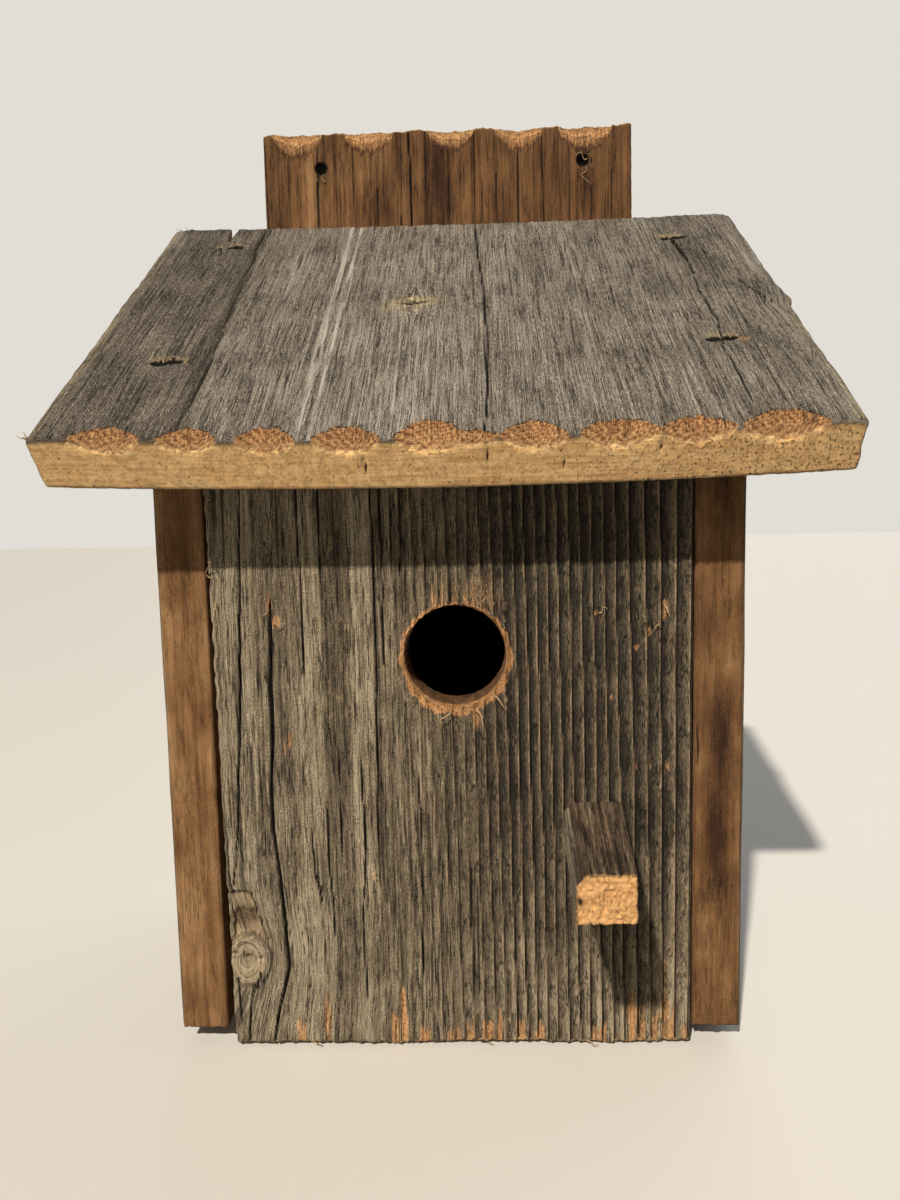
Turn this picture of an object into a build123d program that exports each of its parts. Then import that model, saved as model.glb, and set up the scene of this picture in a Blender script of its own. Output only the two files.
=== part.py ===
from build123d import *
import math
import os

# Nest box of rough-sawn barn boards. Two sides, a back and a floor stand under one sloping roof
# board, and the front panel swings up on two nails so that the box can be cleaned out.
# Frame: +X to the right as seen from the front, +Y from the front to the back, +Z up, in
# millimetres. The origin is the middle of the foot of the whole object's bounding box.

# Box
inner_width = 192.0  # between the two sides
side_thick = 19.5
side_depth = 161.5
side_lift = 7.5  # the sides stop this far above the foot
side_rounding = 2.0  # worn upright corners of the sides
back_width = 190.0
back_thick = 19.0
back_height = 412.5
floor_thick = 19.5
floor_gap = 1.0  # between the floor's front edge and the back of the front panel

# Roof board, which lies on the sloping tops of the sides and butts against the back
roof_width = 287.0
roof_thick = 20.5
roof_slope = 32.4  # degrees
roof_overhang = 43.6  # upper front corner, ahead of the front panel
roof_front_height = 248.2  # upper front corner, above the foot
roof_rounding = 2.5  # worn long corners

# Front panel with the entrance hole
panel_width = 190.0
panel_thick = 19.5
panel_proud = 1.5  # stands this far in front of the sides
panel_bottom = 2.0
panel_top = 247.0
panel_taper = 2.2  # planed off the left edge towards the bottom
entrance_diameter = 40.0
entrance_x = 2.0
entrance_height = 163.5
entrance_chamfer = 1.2

# Pull and perch block on the front panel
perch_reach = 73.0
perch_height = 17.0
perch_bottom = 87.0
perch_root_left = 44.0
perch_root_right = 67.0
perch_tip_left = 41.5
perch_tip_right = 61.5
perch_chamfer = 4.0  # wane along its upper left corner

# Pivot nails
nail_length = 63.5
nail_radius = 1.65
nail_head_radius = 3.55
nail_head_thick = 1.2
nail_tip_length = 5.0
pivot_height = 180.0
pivot_clearance = 0.08  # radial, so that the panel turns on its nails
pivot_end_gap = 1.5  # spare bore past the nail's tip

# Narrow-crown staples, driven a little below the surface
staple_crown = 6.0
staple_leg = 38.0
staple_wire_wide = 1.25
staple_wire_thick = 1.0
staple_tip_length = 2.0
staple_sunk = 1.0

# Roof staples, hand driven: place across the roof, and along the slope from the front edge
roof_staple_places = [(-109.0, 61.0), (108.5, 69.5), (109.0, 188.5), (-109.0, 193.0)]
back_staple_heights = [60.0, 190.0, 315.0]
floor_staple_depths = [50.0, 115.0]  # behind the front panel's face
floor_staple_height = 13.5
perch_staple_spacing = 11.0

# Hanging holes near the top of the back
hanging_hole_radius = 3.0
hanging_hole_spacing = 135.0
hanging_hole_centre_x = 1.2
hanging_hole_height = 396.0

# Gouge cuts that decorate the front edge of the roof and the top of the back
gouge_length = 60.0
roof_gouge_radius = 11.5
roof_gouge_back_reach = 10.5  # onto the upper face
roof_gouge_down_reach = 6.0  # down the front end
roof_gouge_places = [-117.0, -88.0, -61.0, -33.0, -4.0, 31.5, 61.0, 86.0, 116.0]
back_gouge_radius = 19.0
back_gouge_back_reach = 5.0
back_gouge_down_reach = 10.0
back_gouge_places = [-78.5, -41.5, 1.0, 36.0, 70.0]

# Levels worked out from the sizes above
front_y = (perch_reach - side_depth - panel_proud) / 2
side_front_y = front_y + panel_proud
rear_y = side_front_y + side_depth
back_front_y = rear_y - back_thick
inner_half = inner_width / 2
outer_half = inner_half + side_thick
slope_sin = math.sin(math.radians(roof_slope))
slope_cos = math.cos(math.radians(roof_slope))
roof_front_y = front_y - roof_overhang
panel_middle_y = front_y + panel_thick / 2
# The back stands against the left side, which leaves a narrow gap at the right side
back_centre_x = back_width / 2 - inner_half


def roof_top_z(y):
    """Height of the roof's upper face at y."""
    return roof_front_height + (y - roof_front_y) * slope_sin / slope_cos


def roof_under_z(y):
    """Height of the roof's lower face at y."""
    return roof_top_z(y) - roof_thick / slope_cos


def box_between(x0, x1, y0, y1, z0, z1):
    """A box from its lowest corner to its highest."""
    centre = Pos((x0 + x1) / 2, (y0 + y1) / 2, (z0 + z1) / 2)
    return centre * Box(x1 - x0, y1 - y0, z1 - z0)


def across(points, x0, x1):
    """A prism along X whose section is the polygon of (y, z) points."""
    wire = Polyline([(x0, y, z) for y, z in points], close=True)
    return extrude(make_face(wire), amount=x1 - x0, dir=(1, 0, 0))


def nail(at, outward):
    """A round nail driven from at, against the direction outward, with its head flush."""
    profile = Polyline(
        (0, 0, 0),
        (nail_head_radius, 0, 0),
        (nail_head_radius, 0, -nail_head_thick),
        (nail_radius, 0, -nail_head_thick),
        (nail_radius, 0, nail_tip_length - nail_length),
        (0, 0, -nail_length),
        close=True,
    )
    shape = revolve(make_face(profile), axis=Axis.Z)
    return Plane(origin=at, z_dir=outward) * shape


def staple(at, outward, along):
    """A staple driven from at, against the direction outward, with its crown lying along along."""
    half = staple_crown / 2
    inner = half - staple_wire_thick
    foot = staple_leg - staple_tip_length
    outline = Polyline(
        (-half, 0, 0),
        (half, 0, 0),
        (half, 0, -foot),
        (inner, 0, -staple_leg),
        (inner, 0, -staple_wire_thick),
        (-inner, 0, -staple_wire_thick),
        (-inner, 0, -staple_leg),
        (-half, 0, -foot),
        close=True,
    )
    shape = extrude(make_face(outline), amount=staple_wire_wide / 2, dir=(0, 1, 0), both=True)
    return Plane(origin=at, x_dir=along, z_dir=outward) * Pos(0, 0, -staple_sunk) * shape


def staple_slot(at, outward, along):
    """The slot that a staple's crown leaves between the surface and itself."""
    shape = Box(staple_crown, staple_wire_wide, 2 * staple_sunk)
    return Plane(origin=at, x_dir=along, z_dir=outward) * shape


def gouge(x, y, z, radius, back_reach, down_reach, lean):
    """A round-bottomed cut across the upper front corner of a board at x, y, z.

    Its deepest line runs from back_reach along the board's upper face to down_reach down its
    front face. lean is the angle in degrees by which the board is tipped up at the back.
    """
    cut_angle = math.atan2(down_reach, back_reach)
    along = math.radians(lean) + cut_angle
    direction = (0, math.cos(along), math.sin(along))
    outward = (0, -math.sin(along), math.cos(along))
    start_y = y + down_reach * math.sin(math.radians(lean))
    start_z = z - down_reach * math.cos(math.radians(lean))
    centre = (x, start_y + radius * outward[1], start_z + radius * outward[2])
    return Plane(origin=centre, z_dir=direction) * Cylinder(radius, gouge_length)


def roof_places():
    """Where the roof's staples are driven, as (at, outward, along)."""
    places = []
    for x, distance in roof_staple_places:
        y = roof_front_y + distance * slope_cos
        places.append(((x, y, roof_top_z(y)), (0, -slope_sin, slope_cos), (1, 0, 0)))
    return places


def side_places(points, along):
    """Where staples are driven through both sides at each (y, z), as (at, outward, along)."""
    places = []
    for sign in (-1, 1):
        for y, z in points:
            places.append(((sign * outer_half, y, z), (sign, 0, 0), along))
    return places


def perch_places():
    """Where the perch's staples are driven, from inside the box and through the panel."""
    middle = (perch_root_left + perch_root_right) / 2
    height = perch_bottom + perch_height / 2
    places = []
    for sign in (-1, 1):
        at = (middle + sign * perch_staple_spacing / 2, front_y + panel_thick, height)
        places.append((at, (0, 1, 0), (0, 0, 1)))
    return places


def pivot_nail(sign):
    return nail((sign * outer_half, panel_middle_y, pivot_height), (sign, 0, 0))


def make_side(sign, cutters):
    points = [
        (side_front_y, side_lift),
        (rear_y, side_lift),
        (rear_y, roof_under_z(rear_y)),
        (side_front_y, roof_under_z(side_front_y)),
    ]
    x0, x1 = sorted((sign * inner_half, sign * outer_half))
    side = across(points, x0, x1)
    side = fillet(side.edges().filter_by(Axis.Z), side_rounding)
    return side - cutters


def make_roof(cutters):
    points = [
        (roof_front_y, roof_front_height),
        (back_front_y, roof_top_z(back_front_y)),
        (back_front_y, roof_under_z(back_front_y)),
        (roof_front_y + roof_thick * slope_sin, roof_front_height - roof_thick * slope_cos),
    ]
    roof = across(points, -roof_width / 2, roof_width / 2)
    slope_axis = Axis((0, 0, 0), (0, slope_cos, slope_sin))
    roof = fillet(roof.edges().filter_by(slope_axis), roof_rounding)
    reaches = (roof_gouge_back_reach, roof_gouge_down_reach)
    cuts = []
    for x in roof_gouge_places:
        cuts.append(
            gouge(x, roof_front_y, roof_front_height, roof_gouge_radius, *reaches, roof_slope)
        )
    return roof - cuts - cutters


def make_back(cutters):
    x0 = back_centre_x - back_width / 2
    back = box_between(x0, x0 + back_width, back_front_y, rear_y, 0, back_height)
    reaches = (back_gouge_back_reach, back_gouge_down_reach)
    cuts = []
    for x in back_gouge_places:
        cuts.append(gouge(x, back_front_y, back_height, back_gouge_radius, *reaches, 0))
    for sign in (-1, 1):
        x = hanging_hole_centre_x + sign * hanging_hole_spacing / 2
        hole = Rot(90, 0, 0) * Cylinder(hanging_hole_radius, 2 * back_thick)
        cuts.append(Pos(x, back_front_y + back_thick / 2, hanging_hole_height) * hole)
    return back - cuts - cutters


def make_floor(cutters):
    y0 = front_y + panel_thick + floor_gap
    return box_between(-inner_half, inner_half, y0, back_front_y, 0, floor_thick) - cutters


def make_panel(cutters):
    half = panel_width / 2
    outline = Polyline(
        (-half + panel_taper, front_y, panel_bottom),
        (half, front_y, panel_bottom),
        (half, front_y, panel_top),
        (-half, front_y, panel_top),
        close=True,
    )
    panel = extrude(make_face(outline), amount=panel_thick, dir=(0, 1, 0))
    hole_axis = Plane(origin=(entrance_x, front_y, entrance_height), z_dir=(0, 1, 0))
    radius = entrance_diameter / 2
    panel -= hole_axis * Cylinder(radius, 3 * panel_thick)
    rim = Cone(radius + 2 * entrance_chamfer, radius, 2 * entrance_chamfer)
    panel -= hole_axis * rim
    bore_radius = nail_radius + pivot_clearance
    bore_end = outer_half - nail_length - pivot_end_gap
    bore_length = half + 1 - bore_end
    for sign in (-1, 1):
        middle = (sign * (bore_end + bore_length / 2), panel_middle_y, pivot_height)
        panel -= Plane(origin=middle, z_dir=(1, 0, 0)) * Cylinder(bore_radius, bore_length)
    return panel - cutters


def make_perch(cutters):
    tip_y = front_y - perch_reach
    outline = Polyline(
        (perch_root_left, front_y, perch_bottom),
        (perch_root_right, front_y, perch_bottom),
        (perch_tip_right, tip_y, perch_bottom),
        (perch_tip_left, tip_y, perch_bottom),
        close=True,
    )
    perch = extrude(make_face(outline), amount=perch_height, dir=(0, 0, 1))
    top_edges = perch.faces().sort_by(Axis.Z)[-1].edges()
    perch = chamfer(top_edges.sort_by(Axis.X)[0], perch_chamfer)
    return perch - cutters


sites = {
    "roof": roof_places(),
    "back": side_places([(rear_y - back_thick / 2, z) for z in back_staple_heights], (0, 0, 1)),
    "floor": side_places([(front_y + d, floor_staple_height) for d in floor_staple_depths], (0, 1, 0)),
    "perch": perch_places(),
}
staples = {name: [staple(*place) for place in places] for name, places in sites.items()}
slots = {name: [staple_slot(*place) for place in places] for name, places in sites.items()}
pivot_nails = {sign: pivot_nail(sign) for sign in (-1, 1)}
side_cutters = staples["roof"] + staples["back"] + staples["floor"] + slots["back"] + slots["floor"]

parts = {
    "left_side": make_side(-1, side_cutters + [pivot_nails[-1]]),
    "right_side": make_side(1, side_cutters + [pivot_nails[1]]),
    "back_board": make_back(staples["back"]),
    "floor_board": make_floor(staples["floor"]),
    "roof_board": make_roof(staples["roof"] + slots["roof"]),
    "front_panel": make_panel(staples["perch"] + slots["perch"]),
    "perch_block": make_perch(staples["perch"]),
    "pivot_nail_left": pivot_nails[-1],
    "pivot_nail_right": pivot_nails[1],
}
for name, group in staples.items():
    parts[f"{name}_staples"] = Compound(children=group)

os.makedirs("parts", exist_ok=True)
for name, shape in parts.items():
    export_step(shape, f"parts/{name}.step")
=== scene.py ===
import math

import bpy
import numpy as np
from bpy.props import FloatProperty, FloatVectorProperty, PointerProperty
from mathutils import Matrix, Vector

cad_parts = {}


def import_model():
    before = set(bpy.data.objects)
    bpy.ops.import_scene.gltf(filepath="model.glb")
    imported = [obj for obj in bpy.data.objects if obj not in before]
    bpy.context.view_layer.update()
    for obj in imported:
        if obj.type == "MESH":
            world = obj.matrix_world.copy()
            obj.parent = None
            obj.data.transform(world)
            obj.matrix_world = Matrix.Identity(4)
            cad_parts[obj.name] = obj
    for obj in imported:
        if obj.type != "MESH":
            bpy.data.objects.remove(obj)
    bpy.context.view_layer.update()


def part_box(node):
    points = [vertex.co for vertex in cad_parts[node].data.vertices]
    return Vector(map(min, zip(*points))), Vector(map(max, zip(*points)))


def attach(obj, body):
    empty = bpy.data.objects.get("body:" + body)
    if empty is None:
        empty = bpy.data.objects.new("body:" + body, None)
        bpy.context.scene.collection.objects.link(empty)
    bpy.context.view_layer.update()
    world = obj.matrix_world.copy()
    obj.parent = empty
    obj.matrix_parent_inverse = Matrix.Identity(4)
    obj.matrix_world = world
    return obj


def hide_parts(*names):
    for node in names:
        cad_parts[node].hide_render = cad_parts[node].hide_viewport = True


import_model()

# Looks of a nest box of weathered boards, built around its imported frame. Lengths are in
# millimetres until a mesh is made. Every board is worked out in its own directions: a across
# the grain, b along the grain and c down from the board's best face into its thickness.

bl_info = {
    "name": "Birdhouse",
    "version": (1, 0, 0),
    "blender": (4, 5, 0),
    "location": "3D View > Sidebar > Birdhouse",
    "description": "Builds the weathered boards, staples and nails of a birdhouse around its frame",
    "category": "Object",
}

MM = 0.001
TOUCHING = 1e-3  # points nearer than this lie on each other
SHARP_ANGLE = math.radians(42)


def span(node):
    """Lowest and highest corner of a node of the frame, in millimetres."""
    low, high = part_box(node)
    return np.array(low) / MM, np.array(high) / MM


PANEL = span("front_panel")
ROOF = span("roof_board")
BACK = span("back_board")
FLOOR = span("floor_board")
PERCH = span("perch_block")
SIDES = {"left_side": span("left_side"), "right_side": span("right_side")}

# Roof board: its slope and thickness, and its length along the slope
ROOF_SLOPE = math.radians(32.4)
ROOF_THICK = 20.5
ROOF_EDGE = 143.5  # half the roof's width
ROOF_SIN, ROOF_COS, ROOF_TAN = math.sin(ROOF_SLOPE), math.cos(ROOF_SLOPE), math.tan(ROOF_SLOPE)
ROOF_LENGTH = (ROOF[1][1] - ROOF[0][1]) / ROOF_COS
ROOF_CORNER_HEIGHT = ROOF[0][2] + ROOF_THICK * ROOF_COS  # upper front corner

# Entrance and hanging holes: across, along, radius
ENTRANCE = (2.0, 163.5, 20.0)
HANGING_HOLES = [(-66.3, 396.0, 3.0), (68.7, 396.0, 3.0)]

# Staples: place across the roof and along its slope, and the crown's size
ROOF_STAPLES = [(-109.0, 61.0), (108.5, 69.5), (109.0, 188.5), (-109.0, 193.0)]
STAPLE_CROWN = 6.0
STAPLE_LEG = 38.0
STAPLE_SUNK = 1.0
STAPLE_RADIUS = 0.5
STAPLE_BEND = 0.6
BACK_STAPLE_HEIGHTS = [60.0, 190.0, 315.0]
FLOOR_STAPLE_DEPTHS = [50.0, 115.0]
FLOOR_STAPLE_HEIGHT = 13.5
PERCH_STAPLE_SPACING = 11.0

# Pivot nails
PIVOT_HEIGHT = 180.0
NAIL_LENGTH = 63.5
NAIL_RADIUS = 1.65
NAIL_HEAD_RADIUS = 3.55


def tint(red, green, blue):
    """A display colour from 0 to 255 as the linear colour that a shader uses."""
    part = np.array([red, green, blue]) / 255.0
    return tuple(float(v) for v in np.where(part <= 0.04045, part / 12.92, ((part + 0.055) / 1.055) ** 2.4))


# ---------------------------------------------------------------- settings

def colour(name, description, *display):
    return FloatVectorProperty(
        name=name, description=description, subtype="COLOR", size=3, min=0, max=1, default=tint(*display)
    )


def length(name, description, default):
    return FloatProperty(name=name, description=description, default=default, min=0, unit="LENGTH")


class BirdhouseWear(bpy.types.PropertyGroup):
    """How deeply the weather and the tools have marked the boards."""

    ridge_height: length("Ridge height", "Step of the raised grain on the front panel", 0.0017)
    fibre_height: length("Fibre height", "Depth of the fine weathering on the grey boards", 0.00035)
    crack_depth: length("Crack depth", "Depth of the long drying cracks", 0.003)
    roof_cup: length("Roof cup", "How far the middle of the roof has sunk at its front edge", 0.002)
    ragged_end: length("Ragged end", "Raggedness of the sawn ends", 0.0008)


class BirdhouseColours(bpy.types.PropertyGroup):
    """Colours of the wood, the metal and the floor."""

    grey_dark: colour("Weathered, dark", "Soft grain of the grey boards", 56, 48, 40)
    grey_mid: colour("Weathered, middle", "Most of the grey boards", 131, 119, 103)
    grey_light: colour("Weathered, light", "Hard bleached fibres", 184, 174, 158)
    panel_dark: colour("Panel, dark", "Soft grain of the front panel", 44, 37, 29)
    panel_mid: colour("Panel, middle", "Warmer middle tone of the front panel", 115, 100, 78)
    panel_light: colour("Panel, light", "Bleached fibres of the front panel", 190, 174, 144)
    # The crest colour is a worn tan edge, and on the panel's ridges partly a painted highlight
    crest: colour("Ridge crest", "Worn tan edge of each ridge", 168, 144, 110)
    # The crack colour also serves as painted shadow and painted shade at steps, ledges, hole walls and tool
    # marks
    crack: colour("Crack", "Inside of cracks and pits", 20, 13, 8)
    bare_dark: colour("Brown wood, dark", "Dark grain of the unweathered brown faces", 60, 36, 19)
    bare_mid: colour("Brown wood, middle", "Most of the unweathered brown faces", 122, 86, 52)
    bare_light: colour("Brown wood, light", "Light grain of the unweathered brown faces", 168, 130, 88)
    straw: colour("Straw", "Yellowish torn fibres and knots", 184, 165, 124)
    # Fresh wood's dark and light: its own grain, and partly painted shade and painted highlight of torn
    # fibres
    fresh_dark: colour("Fresh wood, dark", "Shaded fibres of newly cut wood", 132, 84, 48)
    fresh_light: colour("Fresh wood, light", "Bright fibres of newly cut wood", 238, 184, 124)
    end_dark: colour("End grain, dark", "Soft rings of the sawn ends", 226, 170, 106)
    end_light: colour("End grain, light", "Hard rings of the sawn ends", 254, 210, 146)
    tip_dark: colour("Perch tip, dark", "Soft rings of the perch's sawn tip", 192, 142, 88)
    tip_light: colour("Perch tip, light", "Hard rings of the perch's sawn tip", 216, 166, 108)
    rust: colour("Rust", "Nails and rusted wire", 92, 52, 30)
    steel: colour("Steel", "Dull wire where it isn't rusted", 120, 112, 104)
    floor: colour("Floor", "The pale studio floor", 219, 214, 204)


def wear(name):
    """A setting of the wear group in millimetres."""
    return getattr(bpy.context.scene.birdhouse_wear, name) / MM


def paint(name):
    """A colour setting as four linear values."""
    return (*getattr(bpy.context.scene.birdhouse_colours, name), 1.0)


# ---------------------------------------------------------------- shapes as arrays

def smooth(x, low, high):
    """Rises from 0 at low to 1 at high along 3t^2 - 2t^3."""
    t = np.clip((x - low) / (high - low), 0.0, 1.0)
    return t * t * (3.0 - 2.0 * t)


def hump(x, centre, width):
    """A bell of height 1: e to the minus square of the distance over the width."""
    return np.exp(-(((x - centre) / width) ** 2))


def noise(x, y, seed):
    """Smooth noise from -1 to 1: random values at whole numbers, joined by smooth steps both ways."""
    table = np.random.default_rng(seed).uniform(-1.0, 1.0, (256, 256))
    x, y = np.broadcast_arrays(np.asarray(x, float), np.asarray(y, float))
    i, j = np.floor(x).astype(int), np.floor(y).astype(int)
    u, v = smooth(x - i, 0, 1), smooth(y - j, 0, 1)
    near = table[i & 255, j & 255] * (1 - u) + table[(i + 1) & 255, j & 255] * u
    far = table[i & 255, (j + 1) & 255] * (1 - u) + table[(i + 1) & 255, (j + 1) & 255] * u
    return near * (1 - v) + far * v


def layered(x, y, seed):
    """Sum of three noises, each at twice the scale and half the strength of the one before."""
    total = sum(noise(x * 2**k, y * 2**k, seed + k) / 2**k for k in range(3))
    return total / (1 + 1 / 2 + 1 / 4)


def lines(stops, steps):
    """Grid lines through the stops, evenly spaced and about one step apart between each two."""
    parts = []
    for low, high, step in zip(stops[:-1], stops[1:], steps):
        count = max(1, round((high - low) / step))
        parts.append(np.linspace(low, high, count, endpoint=False))
    return np.append(np.concatenate(parts), stops[-1])


def edged(low, high, margin, fine, coarse):
    """Grid lines with fine steps within a margin of both edges and coarse steps between."""
    return lines([low, low + margin, high - margin, high], [fine, coarse, fine])


def quad_grid(rows, columns):
    """Point numbers of the four corners of each cell of a grid of points."""
    index = np.arange(rows * columns).reshape(rows, columns)
    return np.stack([index[:-1, :-1], index[1:, :-1], index[1:, 1:], index[:-1, 1:]], axis=-1)


def stack(*parts):
    """Broadcasts three coordinates together into one array of points."""
    return np.stack(np.broadcast_arrays(*parts), axis=-1).astype(float)


class Shell:
    """The surface of a board before wear: a flat grid on each of its six faces, with holes.

    A hole's ring on a face runs straight from the hole's rim to a rectangular window of grid
    lines, one spoke for each grid point of the window's edge, and its wall joins the two rims.
    """

    def __init__(self, a, b, c, holes=()):
        self.a, self.b, self.c, self.holes = a, b, c, holes
        self.parts, self.quads, self.count = [], [], 0
        keep = np.ones((len(a) - 1, len(b) - 1), bool)
        for hole in holes:
            self.hole(keep, *hole)
        for depth, side in ((c[0], -1), (c[-1], 1)):
            self.grid(stack(a[:, None], b[None, :], depth), (0, 0, side), keep)
        for edge, side in ((a[0], -1), (a[-1], 1)):
            self.grid(stack(edge, b[:, None], c[None, :]), (side, 0, 0))
        for end, side in ((b[0], -1), (b[-1], 1)):
            self.grid(stack(a[:, None], end, c[None, :]), (0, side, 0))
        self.weld()

    def grid(self, points, outward, keep=None):
        """Adds a grid of points whose faces look outward; (a, b, c) is a left-handed set."""
        rows, columns = points.shape[:2]
        quads = self.count + quad_grid(rows, columns)
        first = points[:-1, :-1]
        facing = np.cross(points[1:, :-1] - first, points[:-1, 1:] - first) * np.asarray(outward)
        if facing.sum() > 0:
            quads = quads[..., ::-1]
        self.quads.append(quads.reshape(-1, 4) if keep is None else quads[keep])
        self.parts.append(points.reshape(-1, 3))
        self.count += rows * columns

    def hole(self, keep, x, y, radius, margin, rings):
        """Adds a hole's rings and wall, and clears its window from the cells to keep."""
        a, b = self.a, self.b
        i0, i1 = np.searchsorted(a, [x - radius - margin, x + radius + margin])
        j0, j1 = np.searchsorted(b, [y - radius - margin, y + radius + margin])
        wide, high = np.ones(i1 - i0), np.ones(j1 - j0)
        edge_a = np.concatenate([a[i0:i1], high * a[i1], a[i1:i0:-1], high * a[i0], a[i0:i0 + 1]])
        edge_b = np.concatenate([wide * b[j0], b[j0:j1], wide * b[j1], b[j1:j0:-1], b[j0:j0 + 1]])
        angle = np.arctan2(edge_b - y, edge_a - x)
        rim_a, rim_b = x + radius * np.cos(angle), y + radius * np.sin(angle)
        t = (np.linspace(0, 1, rings + 1) ** 1.4)[None, :]
        ring_a = rim_a[:, None] * (1 - t) + edge_a[:, None] * t
        ring_b = rim_b[:, None] * (1 - t) + edge_b[:, None] * t
        for depth, side in ((self.c[0], -1), (self.c[-1], 1)):
            self.grid(stack(ring_a, ring_b, depth), (0, 0, side))
        wall = stack(rim_a[:, None], rim_b[:, None], self.c[None, :])
        inward = np.array([x, y, 0.0]) - wall[:-1, :-1]
        inward[..., 2] = 0.0
        self.grid(wall, inward)
        keep[i0:i1, j0:j1] = False

    def weld(self):
        """Merges the points that lie on each other and drops the unused ones inside windows."""
        points, quads = np.concatenate(self.parts), np.concatenate(self.quads)
        rounded = np.round(points * 1e4).astype(np.int64)
        _, first, place = np.unique(rounded, axis=0, return_index=True, return_inverse=True)
        used, quads = np.unique(place.reshape(-1)[quads], return_inverse=True)
        self.points, self.quads = points[first][used], quads.reshape(-1, 4).tolist()

    def wall(self):
        """True at the points inside a hole, and the direction from each towards its axis."""
        a, b, c = self.points.T
        inside, towards = np.zeros(len(a), bool), np.zeros((len(a), 3))
        between = (c > self.c[0] + 1e-6) & (c < self.c[-1] - 1e-6)
        for x, y, radius, _, _ in self.holes:
            here = between & (np.hypot(a - x, b - y) < radius + TOUCHING)
            inside |= here
            towards[here] = np.stack([x - a[here], y - b[here], 0 * a[here]], axis=1) / radius
        return inside, towards

    def rounded(self, radius):
        """The box with rounded corners: clamp to a box that is smaller by the radius, step out."""
        low = np.array([self.a[0], self.b[0], self.c[0]]) + radius
        high = np.array([self.a[-1], self.b[-1], self.c[-1]]) - radius
        inner = np.clip(self.points, low, high)
        away = self.points - inner
        size = np.linalg.norm(away, axis=1, keepdims=True)
        normal = away / np.maximum(size, 1e-9)
        surface = inner + normal * radius
        inside, towards = self.wall()
        surface[inside], normal[inside] = self.points[inside], towards[inside]
        return surface, normal


CRACK_WANDER = 0.2


def crack(a, b, path, width, seed):
    """How far into a crack each point is, from 0 outside to 1 on its line.

    The path is (across, along) points in order along the grain; the crack is width wide, thins
    to nothing over its last tenth at each end, and wanders a little.
    """
    across, along = np.array(path, float).T
    low, high = along.min(), along.max()
    order = np.argsort(along)
    centre = np.interp(b, along[order], across[order]) + CRACK_WANDER * noise(b / 9.0, seed, seed)
    start, finish = (b - low) / (high - low) * 10, (high - b) / (high - low) * 10
    taper = np.sqrt(np.clip(start, 0, 1) * np.clip(finish, 0, 1))
    return np.clip(1.0 - np.abs(a - centre) / (0.5 * width * np.maximum(taper, 0.05)), 0, 1) * (taper > 0)


def patch(a, b, x, y, half_a, half_b, seed, rough=0.35):
    """A torn patch: 1 in its middle, 0 outside an ellipse whose edge is broken by fibre noise."""
    away = np.hypot((a - x) / half_a, (b - y) / half_b)
    return smooth(1.0 - away + rough * layered(a / 1.1, b / 7.0, seed), 0.0, 0.35)


class Marks:
    """What the shader is told at each point of a board. All start at nothing.

    fresh is newly broken wood, gap is the dark of a crack and also painted shadow and painted shade
    at steps, ledges, hole walls and tool marks, crest a worn light edge and partly a painted highlight
    on the panel's ridges, bare the brown wood that the weather has not reached, end sawn end grain,
    and tone lighter or darker, in places painted shade and painted highlight.
    relief is the height of the front face, which moves the points and isn't passed on.
    """

    def __init__(self, a, b, c):
        self.grain = stack(a, b, c)
        zero = np.zeros(len(a))
        self.fresh, self.gap, self.crest = zero.copy(), zero.copy(), zero.copy()
        self.bare, self.end, self.tone = zero.copy(), zero.copy(), zero.copy()
        self.relief = zero.copy()

    def raise_to(self, key, values):
        """Lifts one of the marks to the values where it lies below them."""
        setattr(self, key, np.maximum(getattr(self, key), values))

    def only(self, share, *keys):
        """Fades marks that belong to one face away from the others."""
        for key in keys:
            setattr(self, key, getattr(self, key) * share)


def facing(normal):
    """Shares of each face direction at a point, as squares of its normal: they add up to 1."""
    square = normal**2
    a, b, c = normal.T
    return {
        "front": square[:, 2] * (c < 0), "back": square[:, 2] * (c > 0),
        "low_a": square[:, 0] * (a < 0), "high_a": square[:, 0] * (a > 0),
        "low_b": square[:, 1] * (b < 0), "high_b": square[:, 1] * (b > 0),
    }


def weather(across, along, seed):
    """Fine relief of weathered wood from -1 to 1: long fibres of three widths."""
    fine = noise(across / 0.9, along / 38.0, seed)
    middle = noise(across / 1.9, along / 70.0, seed + 1)
    broad = noise(across / 5.5, along / 130.0, seed + 2)
    return 0.45 * fine + 0.35 * middle + 0.2 * broad


def sawn(across, along, seed):
    """Fine relief of rough-sawn wood from -1 to 1: weak saw lines across weak fibres."""
    return 0.6 * noise(across / 1.6, along / 45.0, seed) + 0.4 * noise(across / 40.0, along / 2.2, seed + 1)


# ---------------------------------------------------------------- materials

class Signal:
    """A number that varies over a surface. Arithmetic on it adds Math nodes."""

    def __init__(self, maker, socket):
        self.maker, self.socket = maker, socket

    def math(self, operation, *values):
        node = self.maker.node("ShaderNodeMath", {"operation": operation}, dict(enumerate(values)))
        return Signal(self.maker, node.outputs[0])

    def __add__(self, other):
        return self.math("ADD", self, other)

    def __sub__(self, other):
        return self.math("SUBTRACT", self, other)

    def __rsub__(self, other):
        return self.math("SUBTRACT", other, self)

    def __mul__(self, other):
        return self.math("MULTIPLY", self, other)

    __radd__, __rmul__ = __add__, __mul__

    def larger(self, other):
        return self.math("MAXIMUM", self, other)

    def near(self, value, width):
        """1 where the signal equals the value, falling to 0 a width away: thin wandering lines."""
        away = self - value
        return 1.0 - away.math("ABSOLUTE", away).rise(0.0, width)

    def rise(self, low, high):
        """0 below low, 1 above high, and a smooth step between."""
        settings = {"interpolation_type": "SMOOTHSTEP"}
        node = self.maker.node("ShaderNodeMapRange", settings, {0: self, 1: low, 2: high, 3: 0.0, 4: 1.0})
        return Signal(self.maker, node.outputs[0])


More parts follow.
